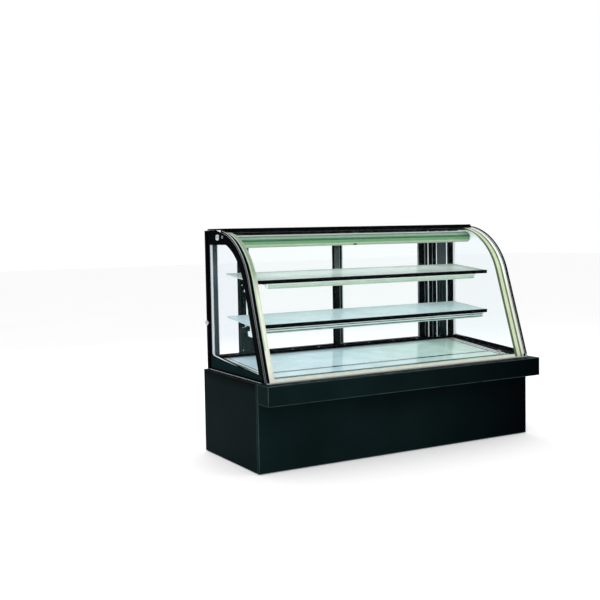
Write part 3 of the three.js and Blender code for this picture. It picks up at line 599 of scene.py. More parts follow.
def build_front_glass():
    pane = Solid().band(0, PANE, -SIDE_OUT, SIDE_OUT)
    pane.make("front_outer_pane", "clear", stands_for="front_glass", slot="clear_glass", bevel=0.8)
    inner = PANE + SPACER_DEPTH + 0.6
    pane = Solid().band(inner, inner + 5, -SPACER_OUT, SPACER_OUT, y_end=GLASS_END - 4)
    pane.make("front_inner_pane", "clear", stands_for="front_glass_inner", slot="clear_glass", bevel=0.6)


def build_spacer():
    """Warm-edge spacer round the double front glass, with its sealant lines."""
    near = PANE + 0.3
    leg = SPACER_OUT - SPACER_WIDTH
    end = GLASS_END - 2
    solid = Solid()
    for sign in SIDES.values():
        solid.band(near, near + SPACER_DEPTH, *on_side(sign, leg, SPACER_OUT), y_end=end)
    low, high = (front_curve(near, FOOT + rise, GLASS_END)[0][0] for rise in (0, SPACER_FOOT))
    run = SPACER_DEPTH / math.cos(LEAN)
    bottom = [(low, FOOT), (low + run, FOOT), (low + run + SPACER_FOOT * math.tan(LEAN), FOOT + SPACER_FOOT),
              (high, FOOT + SPACER_FOOT)]
    solid.prism(bottom, 0, -leg, leg)
    solid.make("spacer_frame", "cream", stands_for="glass_spacer", slot="spacer_cream", bevel=0.4)
    bands = {
        "right_sealant_line": (790, 807, 4, "sealant_mid"),
        "right_cream_band": (807.2, 830.8, 2, "cream_band"),
        "right_olive_band": (831, 844, 2, "olive"),
        "left_sealant_band": (-844.8, -837, 160, "cream_line"),
        "left_sealant_line": (-821.6, -820, 32, "cream_line"),
    }
    for name, (x0, x1, foot, finish) in bands.items():
        Solid().band(*PRINT_FACE, x0, x1, z_foot=FOOT + foot, y_end=end).make(name, finish)


def build_end_bands():
    """Printed bands at the ends of the outer pane, its end faces and what stands at its foot."""
    out = SIDE_OUT
    bands = {
        "left_printed_band": (*PRINT_FACE, -out + 1, -out + 27, "print"),
        "right_pale_band": (*PRINT_FACE, 844.4, out - 7, "pale_seal"),
        "right_edge_print": (-0.25, -0.05, out - 8, out - 0.1, "print"),
        "right_edge_guard": (-0.25, PANE - 1, out + 0.05, out + 5, "print"),
        "left_polished_arris": (-0.25, -0.05, -out + 0.6, -out + 5.6, "edge"),
        "left_glass_end": (1, PANE - 1, -out - 0.25, -out - 0.05, "print"),
    }
    for name, (*place, finish) in bands.items():
        Solid().band(*place).make(name, finish)
    y = front_curve(0, FOOT, GLASS_END)[0][0]
    for name, x0, x1, height, finish in (("right_foot_cleat", 846, 859, 18, "print"),
                                         ("right_foot_pad", 860, 869, 16, "white_trim")):
        Solid().eased(x0, x1, y - 2.5, y + 2, FOOT + 5, FOOT + height, 1).make(name, finish, bevel=0.5)
    profile = [(y - 9, FOOT - 0.2), (y - 0.2, FOOT - 0.2), (y + 0.9, FOOT + 4.5), (y - 3.5, FOOT + 3.6),
               (y - 7.5, FOOT + 1.4)]
    Solid().prism(profile, 0, -out + 2, out - 2).make("front_glazing_bead", "silicone", bevel=0.5)


WINDOW_INSET = 60.0             # printed border beside the front curve
WINDOW_TOP = 1160.0
WINDOW_REAR = 317.0
WINDOW_FOOT = (488.0, 546.0)    # its lower edge, at the front and at the rear


def side_window(rear):
    """The clear part of a side glass, inside its border."""
    angle = math.asin((WINDOW_TOP - CURVE_Z) / (CURVE_R - WINDOW_INSET))
    curve = front_curve(WINDOW_INSET, WINDOW_FOOT[0], CURVE_Y - (CURVE_R - WINDOW_INSET) * math.cos(angle))
    return curve + [(CURVE_Y, WINDOW_TOP), (rear, WINDOW_TOP), (rear, WINDOW_FOOT[1] + 12),
                    (rear - 14, WINDOW_FOOT[1])]


def build_side_prints():
    """The border round each side glass: black outside, pale inside apart from its foot, the pale inside
    glowing with painted light.
    """
    top = CASE_TOP - 1.5
    back = CASE_REAR - 1.5
    outer = front_curve(PANE + 1.2, FOOT + 1.5, GLASS_END)
    outer += [(CURVE_Y, top), (back, top), (back, FOOT + 14), (back - 12, FOOT + 1.5)]
    foot = [(WINDOW_REAR + 12, WINDOW_FOOT[1] - 1), (WINDOW_REAR + 12, FOOT + 14), (-262, FOOT + 14),
            (-262, WINDOW_FOOT[0] + 10)]
    rears = {"left": WINDOW_REAR, "right": WINDOW_REAR + 21}
    for side, sign in SIDES.items():
        layers = {
            "printed_border": (side_window(rears[side]), SIDE_OUT + 0.06, SIDE_OUT + 0.20, "print"),
            "printed_border_back": (side_window(WINDOW_REAR), SIDE_IN - 0.04, SIDE_IN - 0.12, "print_back"),
            "kick_strip": (None, SIDE_IN - 0.15, SIDE_IN - 0.26, "print"),
            "kick_face": (None, SIDE_OUT + 0.26, SIDE_OUT + 0.40, "kick"),
        }
        for name, (window, near, far, finish) in layers.items():
            solid = Solid()
            if window:
                solid.frame(outer, window, 0, sign * near, sign * far)
            else:
                solid.prism(foot, 0, sign * near, sign * far)
            solid.make(f"{side}_{name}", finish)
        x = on_side(sign, SIDE_OUT + 0.25, SIDE_OUT + 5.5)
        trim = Solid().eased(*x, WINDOW_REAR + 30, REAR - 1, FOOT + 1, CASE_TOP - 1, 1.5)
        trim.make(f"{side}_rear_edge_trim", "print", bevel=0.8)


def build_caps():
    """Polished caps that clamp the side glass: Y, Z, radius, height and finish of each."""
    caps = {
        "glass_cap": (200, 1200, 17, 18, "chrome"),
        "small_cap": (150, 1202, 9, 8, "chrome_dim"),
        "rear_cap": (357, 725, 15, 20, "chrome"),
    }
    dome = [(0, 0), (0.92, 0), (1, 0.06), (1, 0.5), (0.94, 0.66), (0.8, 0.82), (0.55, 0.94), (0.25, 0.99),
            (0, 1)]
    for side, sign in SIDES.items():
        for name, (y, z, radius, height, finish) in caps.items():
            profile = [(radius * r, height * h) for r, h in dome]
            cap = Solid().turned(profile, (sign * (SIDE_OUT + 0.3), y, z), (sign, 0, 0), 40)
            cad = f"{side}_glass_cap" if name == "glass_cap" else None
            cap.make(f"{side}_{name}_polished", finish, stands_for=cad, slot="chrome_cap")


# ---- lamp under the lid ----
def build_lamp_details():
    x = box_of("lamp_housing")[1][0]
    cap = [(119, 1174), (122, 1149), (134, 1139), (181, 1153), (181, 1207), (139, 1200), (122, 1191)]
    holder = [(128, 1172), (132, 1152), (150, 1150), (172, 1160), (172, 1190), (140, 1190)]
    caps, holders, fixings = Solid(), Solid(), Solid()
    for sign in SIDES.values():
        caps.prism(cap, 0, *on_side(sign, x + 0.3, x + 4))
        holders.prism(holder, 0, *on_side(sign, x + 4.2, min(x + 24, SIDE_IN - 4)))
        for y, z in ((135, 1155), (165, 1190)):
            fixings.screw((sign * (x + 4), y, z), (sign, 0, 0), 3.2)
    caps.make("lamp_end_caps", "sealant", bevel=0.8)
    holders.make("lamp_end_holders", "pale_edge", bevel=2.5)
    fixings.make("lamp_end_screws", "steel")
    seam = Solid().prism([(117.2, 1175), (118.6, 1173), (120, 1176.4), (117.6, 1178)], 0, -x + 1, x - 1)
    seam.make("lamp_seam_bead", "green_edge")
    lip = Solid().prism([(141, 1202.4), (166, 1205.6), (166, 1208.4), (141, 1205.0)], 0, -x + 1, x - 1)
    lip.make("lamp_upper_lip", "white_trim", bevel=0.4)
    boxes("lamp_lens_clip", "green_edge", (-52, -30, 118.6, 121.4, 1140, 1150), bevel=0.5)


# ---- shelves ----
DIODES = 48


def build_shelf_details(level):
    half = box_of(f"{level}_led_bar")[1][0]
    place = Matrix.Translation((0, SHELF_FRONT, SHELF_TOPS[level])) @ Matrix.Rotation(SHELF_TILT, 4, "X")
    lens = Solid().prism([(9, -48.4), (31, -26.4), (31.6, -27.4), (9.6, -49.6)], 0, -half + 8, half - 8)
    lens.shift(place).make(f"{level}_led_lens", "white_trim")
    diodes, ends, pins = Solid(), Solid(), Solid()
    for i in range(DIODES):
        x = -half + 24 + i * (2 * half - 48) / (DIODES - 1)
        diodes.prism([(17, -41.2), (22, -36.2), (22.6, -36.9), (17.6, -41.9)], 0, x - 2.5, x + 2.5)
    diodes.shift(place).make(f"{level}_led_diodes", "diode")
    end_cap = [(3, -46), (9, -48), (34, -22), (34, -9.6), (3, -9.6)]
    for sign in SIDES.values():
        ends.prism(end_cap, 0, *on_side(sign, half + 0.2, half + 9))
        for z in (-22, -36):
            pins.screw((sign * (half + 9), 12, z), (sign, 0, 0), 2.6)
        pins.rod(3, (sign * (half + 9), 22, -24), 16, (sign, 0, 0))
    ends.shift(place).make(f"{level}_led_end_caps", "white_trim", bevel=1.0)
    pins.shift(place).make(f"{level}_led_screws", "steel")
    finish, *ridges = {"lower": ("teal", (-30, -25), (-43, -38)), "upper": ("cream_line", (-46, -43))}[level]
    boxes(f"{level}_led_ridges", finish, *((-half, half, 1.9, 2.9, *ridge) for ridge in ridges), place=place)
    edge = SHELF_HALF
    seal = (-edge + 1, edge - 1, 3.2, 8, -1.0, -0.4)
    boxes(f"{level}_nosing_seal", "silicone", seal, place=place, bevel=0.2)
    boxes(f"{level}_shelf_rear_edge", "pale_edge", (-edge, edge, 309.1, 309.5, -8.6, -1.6), place=place)
    sides = [(*on_side(sign, edge + 0.05, edge + 0.4), 3.6, 308.6, -8.6, -1.6) for sign in SIDES.values()]
    boxes(f"{level}_shelf_side_edges", "pale_edge", *sides, place=place)


def build_bracket_details(level):
    """Rubber pads between the arms and the glass, locking screws and the hooks in the uprights."""
    pads, bolts, hooks = Solid(), Solid(), Solid()
    for side in SIDES:
        low, high = box_of(f"{level}_{side}_bracket")
        x = (low[0] + high[0]) / 2
        root_y = high[1]
        for y in (20, 200):
            under = SHELF_TOPS[level] + (y - SHELF_FRONT) * math.tan(SHELF_TILT) - 9.1
            pads.box(x - 5.5, x + 5.5, y, y + 14, under - 5, under - 0.9)
        for z in (high[2] - 26, high[2] - 52):
            bolts.screw((low[0], root_y - 14, z), (-1, 0, 0), 4)
            bolts.screw((high[0], root_y - 14, z), (1, 0, 0), 4)
        for z in (high[2] - 20, high[2] - 60):
            hooks.box(x - 1.6, x + 1.6, root_y, root_y + 8, z - 8, z + 4)
    pads.make(f"{level}_bracket_pads", "rubber", bevel=0.8)
    bolts.make(f"{level}_bracket_screws", "steel")
    hooks.make(f"{level}_bracket_hooks", "bracket", bevel=0.3)


# ---- deck, sill and posts ----
def build_deck_details():
    tilt = Matrix.Translation((0, DECK_FRONT, DECK_Z)) @ Matrix.Rotation(DECK_TILT, 4, "X")
    half = DECK_HALF
    length = (DECK_BACK - DECK_FRONT) / math.cos(DECK_TILT)
    end = length - 12
    boxes("deck_joint_line", "teal", (-half + 30, half - 80, 126, 146, 0.15, 1.2), place=tilt, bevel=0.3)
    boxes("deck_front_edge", "sealant", (-half + 14, half - 60, 8, 24, 0.15, 3.0), place=tilt, bevel=0.6)
    seal = (-half + 10, half - 10, end, length - 1, 0.15, 3.2)
    boxes("deck_rear_seal", "silicone", seal, place=tilt, bevel=0.8)
    covers = {"left": (0, 0), "right": (14, 60)}        # width of the black cover, at the rear and the front
    strips = {"trim_outer": (2, 16, 1.6, "white_trim"), "trim_groove": (16.2, 28.8, 1.5, "sealant"),
              "trim_inner": (29, 43, 1.6, "white_trim"), "trim_shadow_line": (43.2, 52, 1.5, "sealant")}
    for side, (rear_in, front_in) in covers.items():
        sign = SIDES[side]
        rear, front = half - 2 - rear_in, half - 2 - front_in
        for name, (near, far, height, finish) in strips.items():
            outline = [(sign * (front - near), 6), (sign * (front - far), 6), (sign * (rear - far), end),
                       (sign * (rear - near), end)]
            Solid().prism(outline, 2, 0.15, height).shift(tilt).make(f"{side}_deck_{name}", finish, bevel=0.3)
        a, b = on_side(sign, front - 1, front - 9)
        top = deck_z(-180) + 10
        clip = Solid().eased(a, b, -195, -165, top - 5.5, top, 2)
        clip.screw(((a + b) / 2, -180, top), (0, 0, 1), 3)
        clip.make(f"{side}_deck_clip", "steel", bevel=0.6)
    cover = Solid().prism([(half - 1, 6), (half - 1, end), (half - 15, end), (half - 61, 6)], 2, 0.15, 5.5)
    cover.shift(tilt).make("right_deck_cover", "frame", bevel=0.8)
    low, high = deck_z(-250) + 8, deck_z(290) + 13
    line = Solid().prism([(-262, low), (296, high), (296, high + 2.6), (-262, low + 2.6)], 0, -SIDE_IN + 1.2,
                         -SIDE_IN + 6)
    line.make("left_curb_sealant", "guide", bevel=0.6)


def build_sill_details():
    inside = SIDE_IN - 2
    right_y, left_y = (box_of(f"{side}_door_frame")[0][1] for side in ("right", "left"))
    glides = [(-inside, inside, y - 0.7, y + 12.7, SILL_TOP - 10, SILL_TOP - 9.1) for y in (right_y, left_y)]
    boxes("sill_glide_strips", "nylon", *glides)
    (x0, _, _), (x1, _, _) = box_of("top_track")
    seals = [(x0 + 4, x1 - 4, y, y + 5.2, 1199, 1205.7) for y in (right_y - 8.6, left_y + 13.4)]
    boxes("track_brush_seals", "brush", *seals)
    front = box_of("rear_sill")[0][1]
    screws("sill_screws", [(-720 + i * 180, front + 12, SILL_TOP) for i in range(9)], (0, 0, 1), 4)
    line = (-inside, inside, front - 0.8, front - 0.1, SILL_TOP - 30, SILL_TOP - 27)
    boxes("sill_face_line", "silicone", line)


def build_left_corner():
    """A slim post with a fixed pane beside it, and the white strip that packs it off the side glass."""
    (x0, y0, z0), (x1, y1, z1) = box_of("left_corner_pane")
    post = Solid().eased(x0, x0 + 26, y0, y1, z0, z1, 2)
    post.make("left_corner_post", "slim_post", stands_for="left_corner_pane", slot="duct_slate")
    pane = Solid().box(x0 + 26.2, x1, y1 - 7, y1 - 1, z0, z1)
    pane.make("left_fixed_pane", "side", stands_for="left_corner_pane", slot="clear_glass", bevel=0.5)
    strips = Solid().eased(-SIDE_IN + 1, x0 - 1, y0 + 2, y1, z0, z1, 1)
    strips.box(x0 + 25.5, x0 + 29, y0 - 0.2, y0 + 5, z0, z1).make("left_corner_seals", "white_trim")
    face = box_of("left_upright")[0][1]
    boxes("left_jamb_seal", "bright_seal", (-663, -653, face - 0.9, face - 0.1, 742, 962))
    shoes = Solid().prism([(-678, 892), (-654, 884), (-654, 916), (-670, 920)], 1, face - 12, face - 1)
    shoes.prism([(-662, 640), (-626, 627), (-628, 672), (-664, 668)], 1, face - 26, face - 13)
    shoes.make("left_bracket_shoes", "bright_seal", bevel=1.2)
    boxes("left_air_guide", "guide", (-655, -596, face - 0.2, face + 2.2, SILL_TOP + 1, 668), bevel=0.5)


def build_post_details():
    jamb, duct_face, _ = box_of("right_corner_duct")[0]
    (left, face, _), (right, _, _) = box_of("right_upright")
    z = (SILL_TOP + 1, CASE_TOP - 1)
    seals = [(793, 800, duct_face + 4.9, duct_face + 5.6, *z), (left, left + 8, 329.0, 329.5, *z),
             (jamb - 2.6, jamb - 0.1, 346, 366, z[0], CASE_TOP - 34),
             (right - 4.5, right - 0.5, face - 0.8, face - 0.1, *z)]
    boxes("right_post_seals", "bright_seal", *seals)
    lead = Solid().tube([(662, face - 1.4, z[0]), (662, face - 1.4, z[1] - 60)], 1.3, 8)
    lead.make("lamp_lead", "silicone")
    boxes("right_post_covers", "frame", (jamb + 0.5, 713.5, 329.5, 329.95, *z),
          (805.5, 844.5, duct_face - 0.5, duct_face - 0.05, *z))
    slots = [(x - 2, x + 2, duct_face + 5.2, duct_face + 5.8, *slot) for x in (736, 760, 784)
             for slot in ((600, 700), (760, 900), (1010, 1120))]
    boxes("duct_air_slots", "plastic", *slots)
    places = []
    for side, sign in SIDES.items():
        low, high = box_of(f"{side}_upright")
        x = (low[0] + high[0]) / 2 + sign * 14
        places += [(x, low[1], height) for height in (low[2] + 20, 690, 930, high[2] - 45)]
    screws("upright_screws", places, (0, -1, 0), 4)


# ---- doors ----
DOOR_STILE = 44.0
DOOR_RAIL = 34.0
DOOR_FOOT = 14.0
PULL = {"width": 24, "z": (250, 370), "inset": 10}


def build_door_details(side, sign):
    """A door's gasket, brush, buffer, finger pull and rollers. sign points from its middle to its jamb."""
    body = f"{side}_door"
    (x0, y0, z0), (x1, y1, z1) = box_of(f"{side}_door_frame")
    jamb, meeting = (x0, x1) if side == "left" else (x1, x0)
    gasket = Solid()
    opening = (x0 + DOOR_STILE, x1 - DOOR_STILE, z0 + DOOR_FOOT, z1 - DOOR_RAIL)
    for a, b in ((y0 + 1.2, y0 + 3.0), (y1 - 3.0, y1 - 1.2)):
        gasket.frame(rect(*opening, 0.15), rect(*opening, 4.0), 1, a, b)
    gasket.make(f"{side}_door_gasket", "silicone", body)
    if side == "right":
        cover = (x0 + 7, x0 + DOOR_STILE - 1, y0 - 0.5, y0 - 0.05, z0 + 12, z1 - 12)
        boxes("meeting_stile_cover", "slate_sheet", cover, body=body)
    brush_y = (y0 - 3.0, y0 - 0.1) if side == "left" else (y1 + 0.1, y1 + 3.0)
    brush_x = sorted((meeting + sign * 1.5, meeting + sign * 6.5))
    boxes(f"{side}_meeting_brush", "brush", (*brush_x, *brush_y, z0 + 16, z1 - 16), body=body)
    buffer_x = sorted((jamb + sign * 0.1, jamb + sign * 3.0))
    boxes(f"{side}_door_buffer", "white_trim", (*buffer_x, y0 + 2, y1 - 2, z0 + 20, z1 - 20), body=body)
    pull_x = sorted((jamb - sign * PULL["inset"], jamb - sign * (PULL["inset"] + PULL["width"])))
    cup = (*pull_x, *(z0 + z for z in PULL["z"]))
    pull = Solid().frame(rect(*cup, -2.6), rect(*cup, 1.8), 1, y1 + 0.05, y1 + 0.8)
    a, b, c, d = cup
    pull.box(a + 1.4, b - 1.4, y1 - 5.8, y1 - 5.2, c + 1.4, d - 1.4)
    pull.make(f"{side}_finger_pull", "steel", body, bevel=0.2)
    rollers = Solid()
    for x in (x0 + 60, x1 - 60):
        rollers.rod(5.5, (x, (y0 + y1) / 2 - 3, z0 + 5.6), 6, (0, 1, 0), 1.0)
    rollers.make(f"{side}_door_rollers", "nylon", body)


# ---- lid ----
def build_lid_details():
    low, high = box_of("lid")
    front = low[1]
    ends = Solid()
    for sign in SIDES.values():
        ends.eased(*on_side(sign, SIDE_IN + 0.4, SIDE_OUT - 0.4), front - 0.2, front + 9, 1216, 1239.6, 3)
    ends.make("lid_corner_blocks", "frame", bevel=1.2)
    places = [(sign * (SIDE_IN + 5), front - 0.2, 1228) for sign in SIDES.values()]
    screws("lid_corner_screws", places, (0, -1, 0), 3.4)
    boxes("lid_front_line", "plastic", (-SIDE_IN + 6, SIDE_IN - 6, front - 0.5, front - 0.05, 1223, 1225))
    pads = Solid()
    for x in (-700, -350, 0, 350, 700):
        pads.rod(5, (x, high[1] - 16, high[2] - 0.6), 0.55, (0, 0, 1), 0.1)
    pads.make("lid_screw_plugs", "plastic")


# ---- base: rear face ----
def build_rear_details():
    places = [(x, REAR - 2.8, z) for z in (24, 452) for x in (-860, -600, -240, 60, 400, 860)]
    places += [(x, REAR - 2.8, z) for z in (170, 310) for x in (-860, 860)]
    screws("rear_panel_screws", places, (0, 1, 0), 4.4)
    (x0, _, z0), (x1, face, z1) = box_of("rear_grille")
    blades = Solid()
    z = z0 + 19
    while z < z1 - 8:
        profile = [(REAR - 15, z + 6), (REAR - 4.3, z - 6.2), (REAR - 4.3, z - 4.6), (REAR - 15, z + 7.6)]
        blades.prism(profile, 0, x0 + 20, x1 - 20)
        z += 18
    blades.make("grille_louvre_blades", "sheet")
    corners = [(x, face - 2.6, z) for x in (x0 + 10, (x0 + x1) / 2, x1 - 10) for z in (z0 + 8, z1 - 8)]
    screws("grille_screws", corners, (0, 1, 0), 4)


CONTROL_X = {"controller": -480, "power": -360, "light": -310}
CONTROL_Z = 400
INLET = (-780, 110)


def build_controls():
    x, z = CONTROL_X["controller"], CONTROL_Z
    rim("controller_bezel", x, z, (38.5, 14.5), (33.5, 10.5), REAR - 3.9, REAR - 0.3)
    boxes("controller_display", "display", (x - 32, x + 6, REAR - 0.9, REAR - 0.45, z - 8, z + 8), bevel=0.2)
    for name in ("power", "light"):
        rim(f"{name}_switch_rim", CONTROL_X[name], z, (17, 9.5), (13.6, 6.2), REAR - 3.9, REAR - 0.4)
    x, z = INLET
    rim("power_inlet_rim", x, z, (24, 14), (14, 9), REAR - 3.9, REAR - 0.4)
    pins = [(x + px - 1, x + px + 1, REAR - 21.5, REAR - 6, z + pz - 2.5, z + pz + 2.5)
            for px, pz in ((-7, -2), (0, 3), (7, -2))]
    boxes("power_inlet_pins", "brass", *pins, bevel=0.3)
    screws("power_inlet_screws", [(x + px, REAR - 3.0, z) for px in (-19.5, 19.5)], (0, 1, 0), 3)


def build_tray_details():
    low, high = box_of("condensate_tray")
    x = (low[0] + high[0]) / 2
    rim("tray_handle_rim", x, 49, (52, 13), (46, 9), high[1] + 0.02, high[1] + 0.45, "tray", 0.0)
    ribs = [low[0] + 60 + i * (high[0] - low[0] - 120) / 4 for i in range(5)]
    spans = [(x - 1, x + 1, low[1] + 6, high[1] - 14, low[2] + 3.2, low[2] + 5) for x in ribs]
    boxes("tray_floor_ribs", "plastic", *spans, body="tray")


# ---- base: machine compartment ----
def build_compressor():
    x, y, r = 560, 60, 82
    profile = [(0, 46), (r * 0.5, 46), (r * 0.8, 53), (r * 0.95, 66), (r, 86), (r, 127), (r + 3, 129),
               (r + 5, 130), (r + 5, 134), (r + 3, 135.5), (r, 137), (r, 176), (r * 0.97, 192),
               (r * 0.88, 208), (r * 0.7, 221), (r * 0.4, 229), (0, 232)]
    shell = Solid().turned(profile, (x, y, 0), sides=56)
    plate = [(-115, -50), (-103, -62), (103, -62), (115, -50), (115, 50), (103, 62), (-103, 62), (-115, 50)]
    shell.prism([(x + px, y + py) for px, py in plate], 2, 40, 45.9)
    shell.eased(x + r - 2, x + r + 34, y - 30, y + 30, 120, 190, 6)
    shell.make("compressor_shell", "compressor", stands_for="compressor", slot="compressor_black", bevel=0.8)
    corners = [(x + i * 100, y + j * 48) for i in (-1, 1) for j in (-1, 1)]
    grommet = [(0, 24.4), (11, 24.4), (12, 28), (9, 31), (12, 35), (11, 39.8), (0, 39.8)]
    mounts = Solid()
    for corner in corners:
        mounts.turned(grommet, (*corner, 0))
    mounts.make("compressor_grommets", "rubber")
    screws("compressor_bolts", [(*corner, 46) for corner in corners], (0, 0, 1), 6)


def zigzag(ends, levels):
    """Both ends at each level, in the order a serpentine visits them."""
    return [(x, level) for k, level in enumerate(levels) for x in (ends if k % 2 == 0 else ends[::-1])]


def fin_coil(name, low, high, count, rows, plate_foot, ys):
    """Thin fins with copper tubes through them and return bends at the ends."""
    (x0, y0, z0), (x1, y1, z1) = low, high
    fins = Solid()
    for i in range(count):
        x = x0 + (i + 0.5) * (x1 - x0) / count
        fins.box(x - 0.35, x + 0.35, y0, y1, z0, z1)
    fins.make(f"{name}_fins", "fin", stands_for=f"{name}_coil", slot="fin_aluminium")
    boxes(f"{name}_end_plates", "zinc", *((x, x + 2, y0, y1, z0 - plate_foot, z1) for x in (x0 - 3, x1 + 1)))
    step = (z1 - z0) / rows
    tubes = Solid()
    for y in ys:
        path = zigzag((x0 - 14, x1 + 14), [z0 + step * (k + 0.5) for k in range(rows)])
        tubes.tube([(x, y, z) for x, z in path], 4.0, 10, step * 0.49)
    tubes.make(f"{name}_tubes", "copper")


BLADE_SECTION = ((-0.5, 0), (-0.2, 1.1), (0.2, 1.2), (0.5, 0.2), (0.2, -0.5), (-0.2, -0.6))


def fan_rotor(name, centre, radius, depth, finish, body, node):
    """A hub with five twisted blades that widen outwards, turning about Y."""
    solid = Solid()
    hub = radius * 0.26
    x, y, z = centre
    profile = [(0, 0), (hub * 0.8, 0), (hub, 2), (hub, depth - 3), (hub * 0.8, depth), (0, depth)]
    solid.turned(profile, centre, (0, 1, 0), 36)
    for blade in range(5):
        rings = []
        for t in (k / 6 for k in range(7)):
            r = hub * 0.9 + (radius * 0.95 - hub * 0.9) * t
            pitch = math.radians(42 - 20 * t)
            chord = radius * (0.42 + 0.16 * math.sin(math.pi * min(t * 0.9, 1)))
            swept = 2 * math.pi * blade / 5 + 0.16 * t * t
            ring = []
            for u, v in BLADE_SECTION:
                around_hub = swept + u * chord * math.cos(pitch) / max(r, 1)
                out = u * chord * math.sin(pitch) + v
                lift = max(min(depth / 2 + out, depth - 0.4), 0.4)
                ring.append((x + r * math.cos(around_hub), y + lift, z + r * math.sin(around_hub)))
            rings.append(ring)
        solid.loops(rings)
    solid.make(name, finish, body, stands_for=node, slot=finish)


def build_pipes():
    pipes = {
        "discharge_pipe": ("copper", 4.0, (505, 20, 150), (440, 20, 170), (440, 150, 200), (440, 240, 268),
                           (526, 262, 268), (526, 336, 268)),
        "liquid_pipe": ("copper", 3.2, (175, 336, 92), (150, 336, 92), (150, 250, 92), (90, 200, 92),
                        (60, 200, 92)),
        "capillary": ("copper", 1.6, (-56, 200, 92), (-90, 200, 92), (-90, 120, 160), (-90, 120, 288),
                      (-90, 120, 340)),
        "suction_pipe": ("foam", 8.5, (-40, 130, 340), (-40, 130, 250), (120, 40, 220), (400, -40, 220),
                         (500, -40, 190), (512, 20, 190)),
    }
    for name, (finish, radius, *path) in pipes.items():
        Solid().tube(path, radius, 12, 28).make(name, finish)
    profile = [(0, 0), (5, 0), (7, 6), (13, 16), (14, 22), (14, 96), (13, 102), (7, 112), (5, 118), (0, 118)]
    Solid().turned(profile, (60, 200, 92), (-1, 0, 0)).make("filter_drier", "copper")
    for k, color in enumerate(("red", "blue")):
        path = [(-300 + 14 * k, 330, 395), (-200, 325 - 5 * k, 290), (0, 300, 260 - 6 * k), (300, 180, 258),
                (590, 110, 236 - 5 * k), (658, 66, 194)]
        Solid().tube(path, 1.8, 8, 40).make(f"motor_lead_{color}", f"wire_{color}")


def build_well_details():
    guard = Solid()
    for sign in SIDES.values():
        centre = Vector((sign * 260, 17.0, 392))
        for radius in (12, 22, 32, 42, 49):
            ring = [centre + Vector((x, 0, z)) for x, z in circle(radius, 36)]
            guard.tube(ring + ring[:1], 0.9, 6)
        for x, z in circle(50, 8, 0.3)[:4]:
            arm = Vector((x, 0, z))
            guard.tube([centre - arm, centre + arm], 1.0, 6)
    guard.make("fan_guards", "steel")
    Solid().rod(14, (-250, -60, 331), 4).rod(9, (-250, -60, 262), 37).make("drain_fitting", "plastic")
    path = [(-250, -60, 268), (-250, -60, 200), (-250, 40, 120), (-250, 130, 92), (-250, 130, 70)]
    Solid().tube(path, 6.5, 14, 50).make("drain_hose", "rubber")
    path = [(x, y, 334.5) for x, y in zigzag((-500, 500), range(70, 214, 24))]
    Solid().tube(path, 2.6, 8, 10).make("defrost_heater", "steel")


def build_foot(node):
    low, high = box_of(node)
    place = ((low[0] + high[0]) / 2, (low[1] + high[1]) / 2, 0)
    sole = [(0, 0), (20, 0), (24, 1.5), (25, 4), (24.5, 7), (12, 9.5), (9, 11), (0, 11)]
    pad = Solid().turned(sole, place, sides=40)
    pad.make(f"{node}_pad", "rubber", stands_for=node, slot="foot_rubber")
    thread = [point for k in range(5) for point in ((7.6, 11.3 + 1.7 * k), (6.6, 12.1 + 1.7 * k))]
    stud = Solid().turned([(0, 11.1), *thread, (6.4, 19.6), (0, 19.6)], place, sides=24)
    stud.turned([(0, 15.2), (11, 15.2), (11.6, 16), (11.6, 18.8), (11, 19.6), (0, 19.6)], place, sides=6)
    stud.make(f"{node}_stud", "steel")


# ---- staging ----
MIRRORED_WALL = 0.25            # what gloss sees at eye level, and higher up
MIRRORED_SKY = 0.95
WORLD_LIGHT = 0.80
LIGHTS = {                      # place, what it points at, size and power
    "key": ((-3.2, -3.4, 3.6), (0, 0, 0.6), 2.6, 70),
    "fill": ((3.4, -3.0, 2.6), (0, 0, 0.6), 3.0, 30),
    "back": ((0.6, 3.6, 3.2), (0, 0, 0.8), 3.0, 60),
}
CAMERA = {"place": (-3.0306, -4.3129, 1.2186), "azimuth": -28.072, "pitch": -3.567, "roll": -1.180,
          "lens": 55.268, "shift": (0.06593, -0.01549)}


def build_stage():
    bpy.ops.mesh.primitive_plane_add(size=60, location=(0, 0, -0.0004))
    floor = bpy.context.object
    floor.name = "floor"
    sockets = {**shine(0.0), **glow((1, 1, 1), 0.2)}
    finish = plain((0.95, 0.95, 0.95), 0.8, 0.0, sockets, amount=0.01, scale=1, rough=0.02, fine=3, bump=0)
    floor.data.materials.append(finish.material)
    world = bpy.data.worlds.new("studio")
    bpy.context.scene.world = world
    world.use_nodes = True
    tree = world.node_tree

    def backdrop(strength):
        return add_node(tree, "Background", {"Color": (1, 1, 1), "Strength": strength}).outputs[0]

    def choose(test, a, b):
        return add_node(tree, "MixShader", {0: test, 1: a, 2: b}).outputs[0]

    rays = add_node(tree, "LightPath").outputs
    sky = add_node(tree, "TexCoord").outputs["Generated"]
    height = add_node(tree, "SeparateXYZ", {0: sky}).outputs["Z"]
    limits = {"From Min": -0.02, "From Max": 0.16, "To Min": MIRRORED_WALL, "To Max": MIRRORED_SKY}
    rise = add_node(tree, "MapRange", {"Value": height, **limits}).outputs["Result"]
    lit = choose(rays["Is Glossy Ray"], backdrop(WORLD_LIGHT), backdrop(rise))
    seen = choose(rays["Is Camera Ray"], lit, backdrop(1.0))
    tree.links.new(seen, tree.nodes["World Output"].inputs["Surface"])


def area_light(name, place, size, power):
    data = bpy.data.lights.new(name, "AREA")
    data.size = size
    data.energy = power
    lamp = placed(name, data)
    lamp.location = place
    lamp.visible_glossy = False
    return lamp


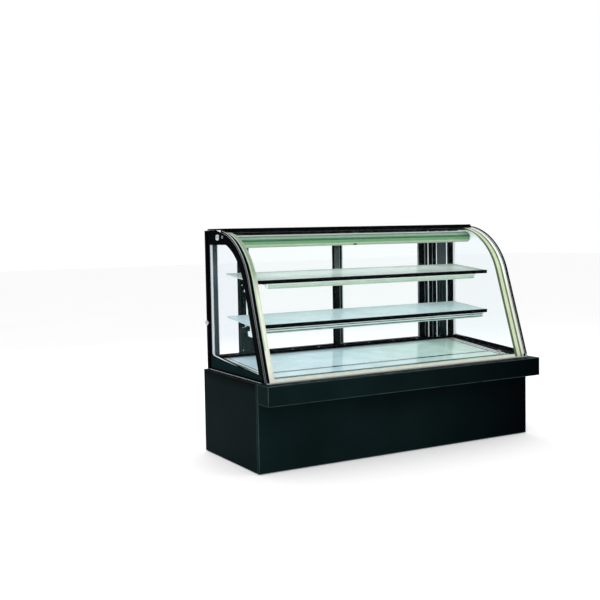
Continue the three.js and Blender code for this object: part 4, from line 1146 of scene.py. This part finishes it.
def build_lights():
    strip = area_light("lamp_tube", (0, 0.15, 1.13), 1.5, 1.2).data
    strip.shape = "RECTANGLE"
    strip.size_y = 0.03
    strip.color = (0.93, 1.0, 0.98)
    for name, (place, target, size, power) in LIGHTS.items():
        aim = (Vector(target) - Vector(place)).to_track_quat("-Z", "Y")
        area_light(name, place, size, power).rotation_euler = aim.to_euler()


def build_camera():
    data = bpy.data.cameras.new("camera")
    camera = placed("camera", data)
    azimuth, pitch, roll = (math.radians(CAMERA[k]) for k in ("azimuth", "pitch", "roll"))
    aim = Matrix.Rotation(azimuth, 4, "Z") @ Matrix.Rotation(math.pi / 2 + pitch, 4, "X")
    camera.matrix_world = Matrix.Translation(CAMERA["place"]) @ aim @ Matrix.Rotation(roll, 4, "Z")
    data.sensor_width = 36
    data.lens = CAMERA["lens"]
    data.shift_x, data.shift_y = CAMERA["shift"]
    bpy.context.scene.camera = camera


build_camera()
dress_nodes()
build_front_glass()
build_spacer()
build_end_bands()
build_side_prints()
build_caps()
build_lamp_details()
for shelf in LEVELS:
    build_shelf_details(shelf)
    build_bracket_details(shelf)
build_deck_details()
build_sill_details()
build_left_corner()
build_post_details()
for door, outward in SIDES.items():
    build_door_details(door, outward)
build_lid_details()
build_rear_details()
build_controls()
build_tray_details()
build_compressor()
fin_coil("condenser", (190, 316, 70), (510, 356, 290), 90, 9, 45, (328, 345))
fin_coil("evaporator", (-520, 60, 342), (520, 200, 440), 150, 4, 11, (82, 115, 148, 180))
fan_rotor("condenser_fan_rotor", (350, 278, 180), 78, 22, "fan_metal", "condenser_rotor", "condenser_fan")
for fan, outward in SIDES.items():
    fan_rotor(f"{fan}_well_fan", (outward * 260, -6, 392), 46, 20, "fan_white", f"{fan}_fan",
              f"{fan}_evaporator_fan")
build_pipes()
build_well_details()
for foot_end in ("front", "rear"):
    for foot_side in SIDES:
        build_foot(f"foot_{foot_end}_{foot_side}")
build_stage()
build_lights()

scene = bpy.context.scene
scene.view_settings.view_transform = "Standard"
scene.cycles.transparent_max_bounces = 32
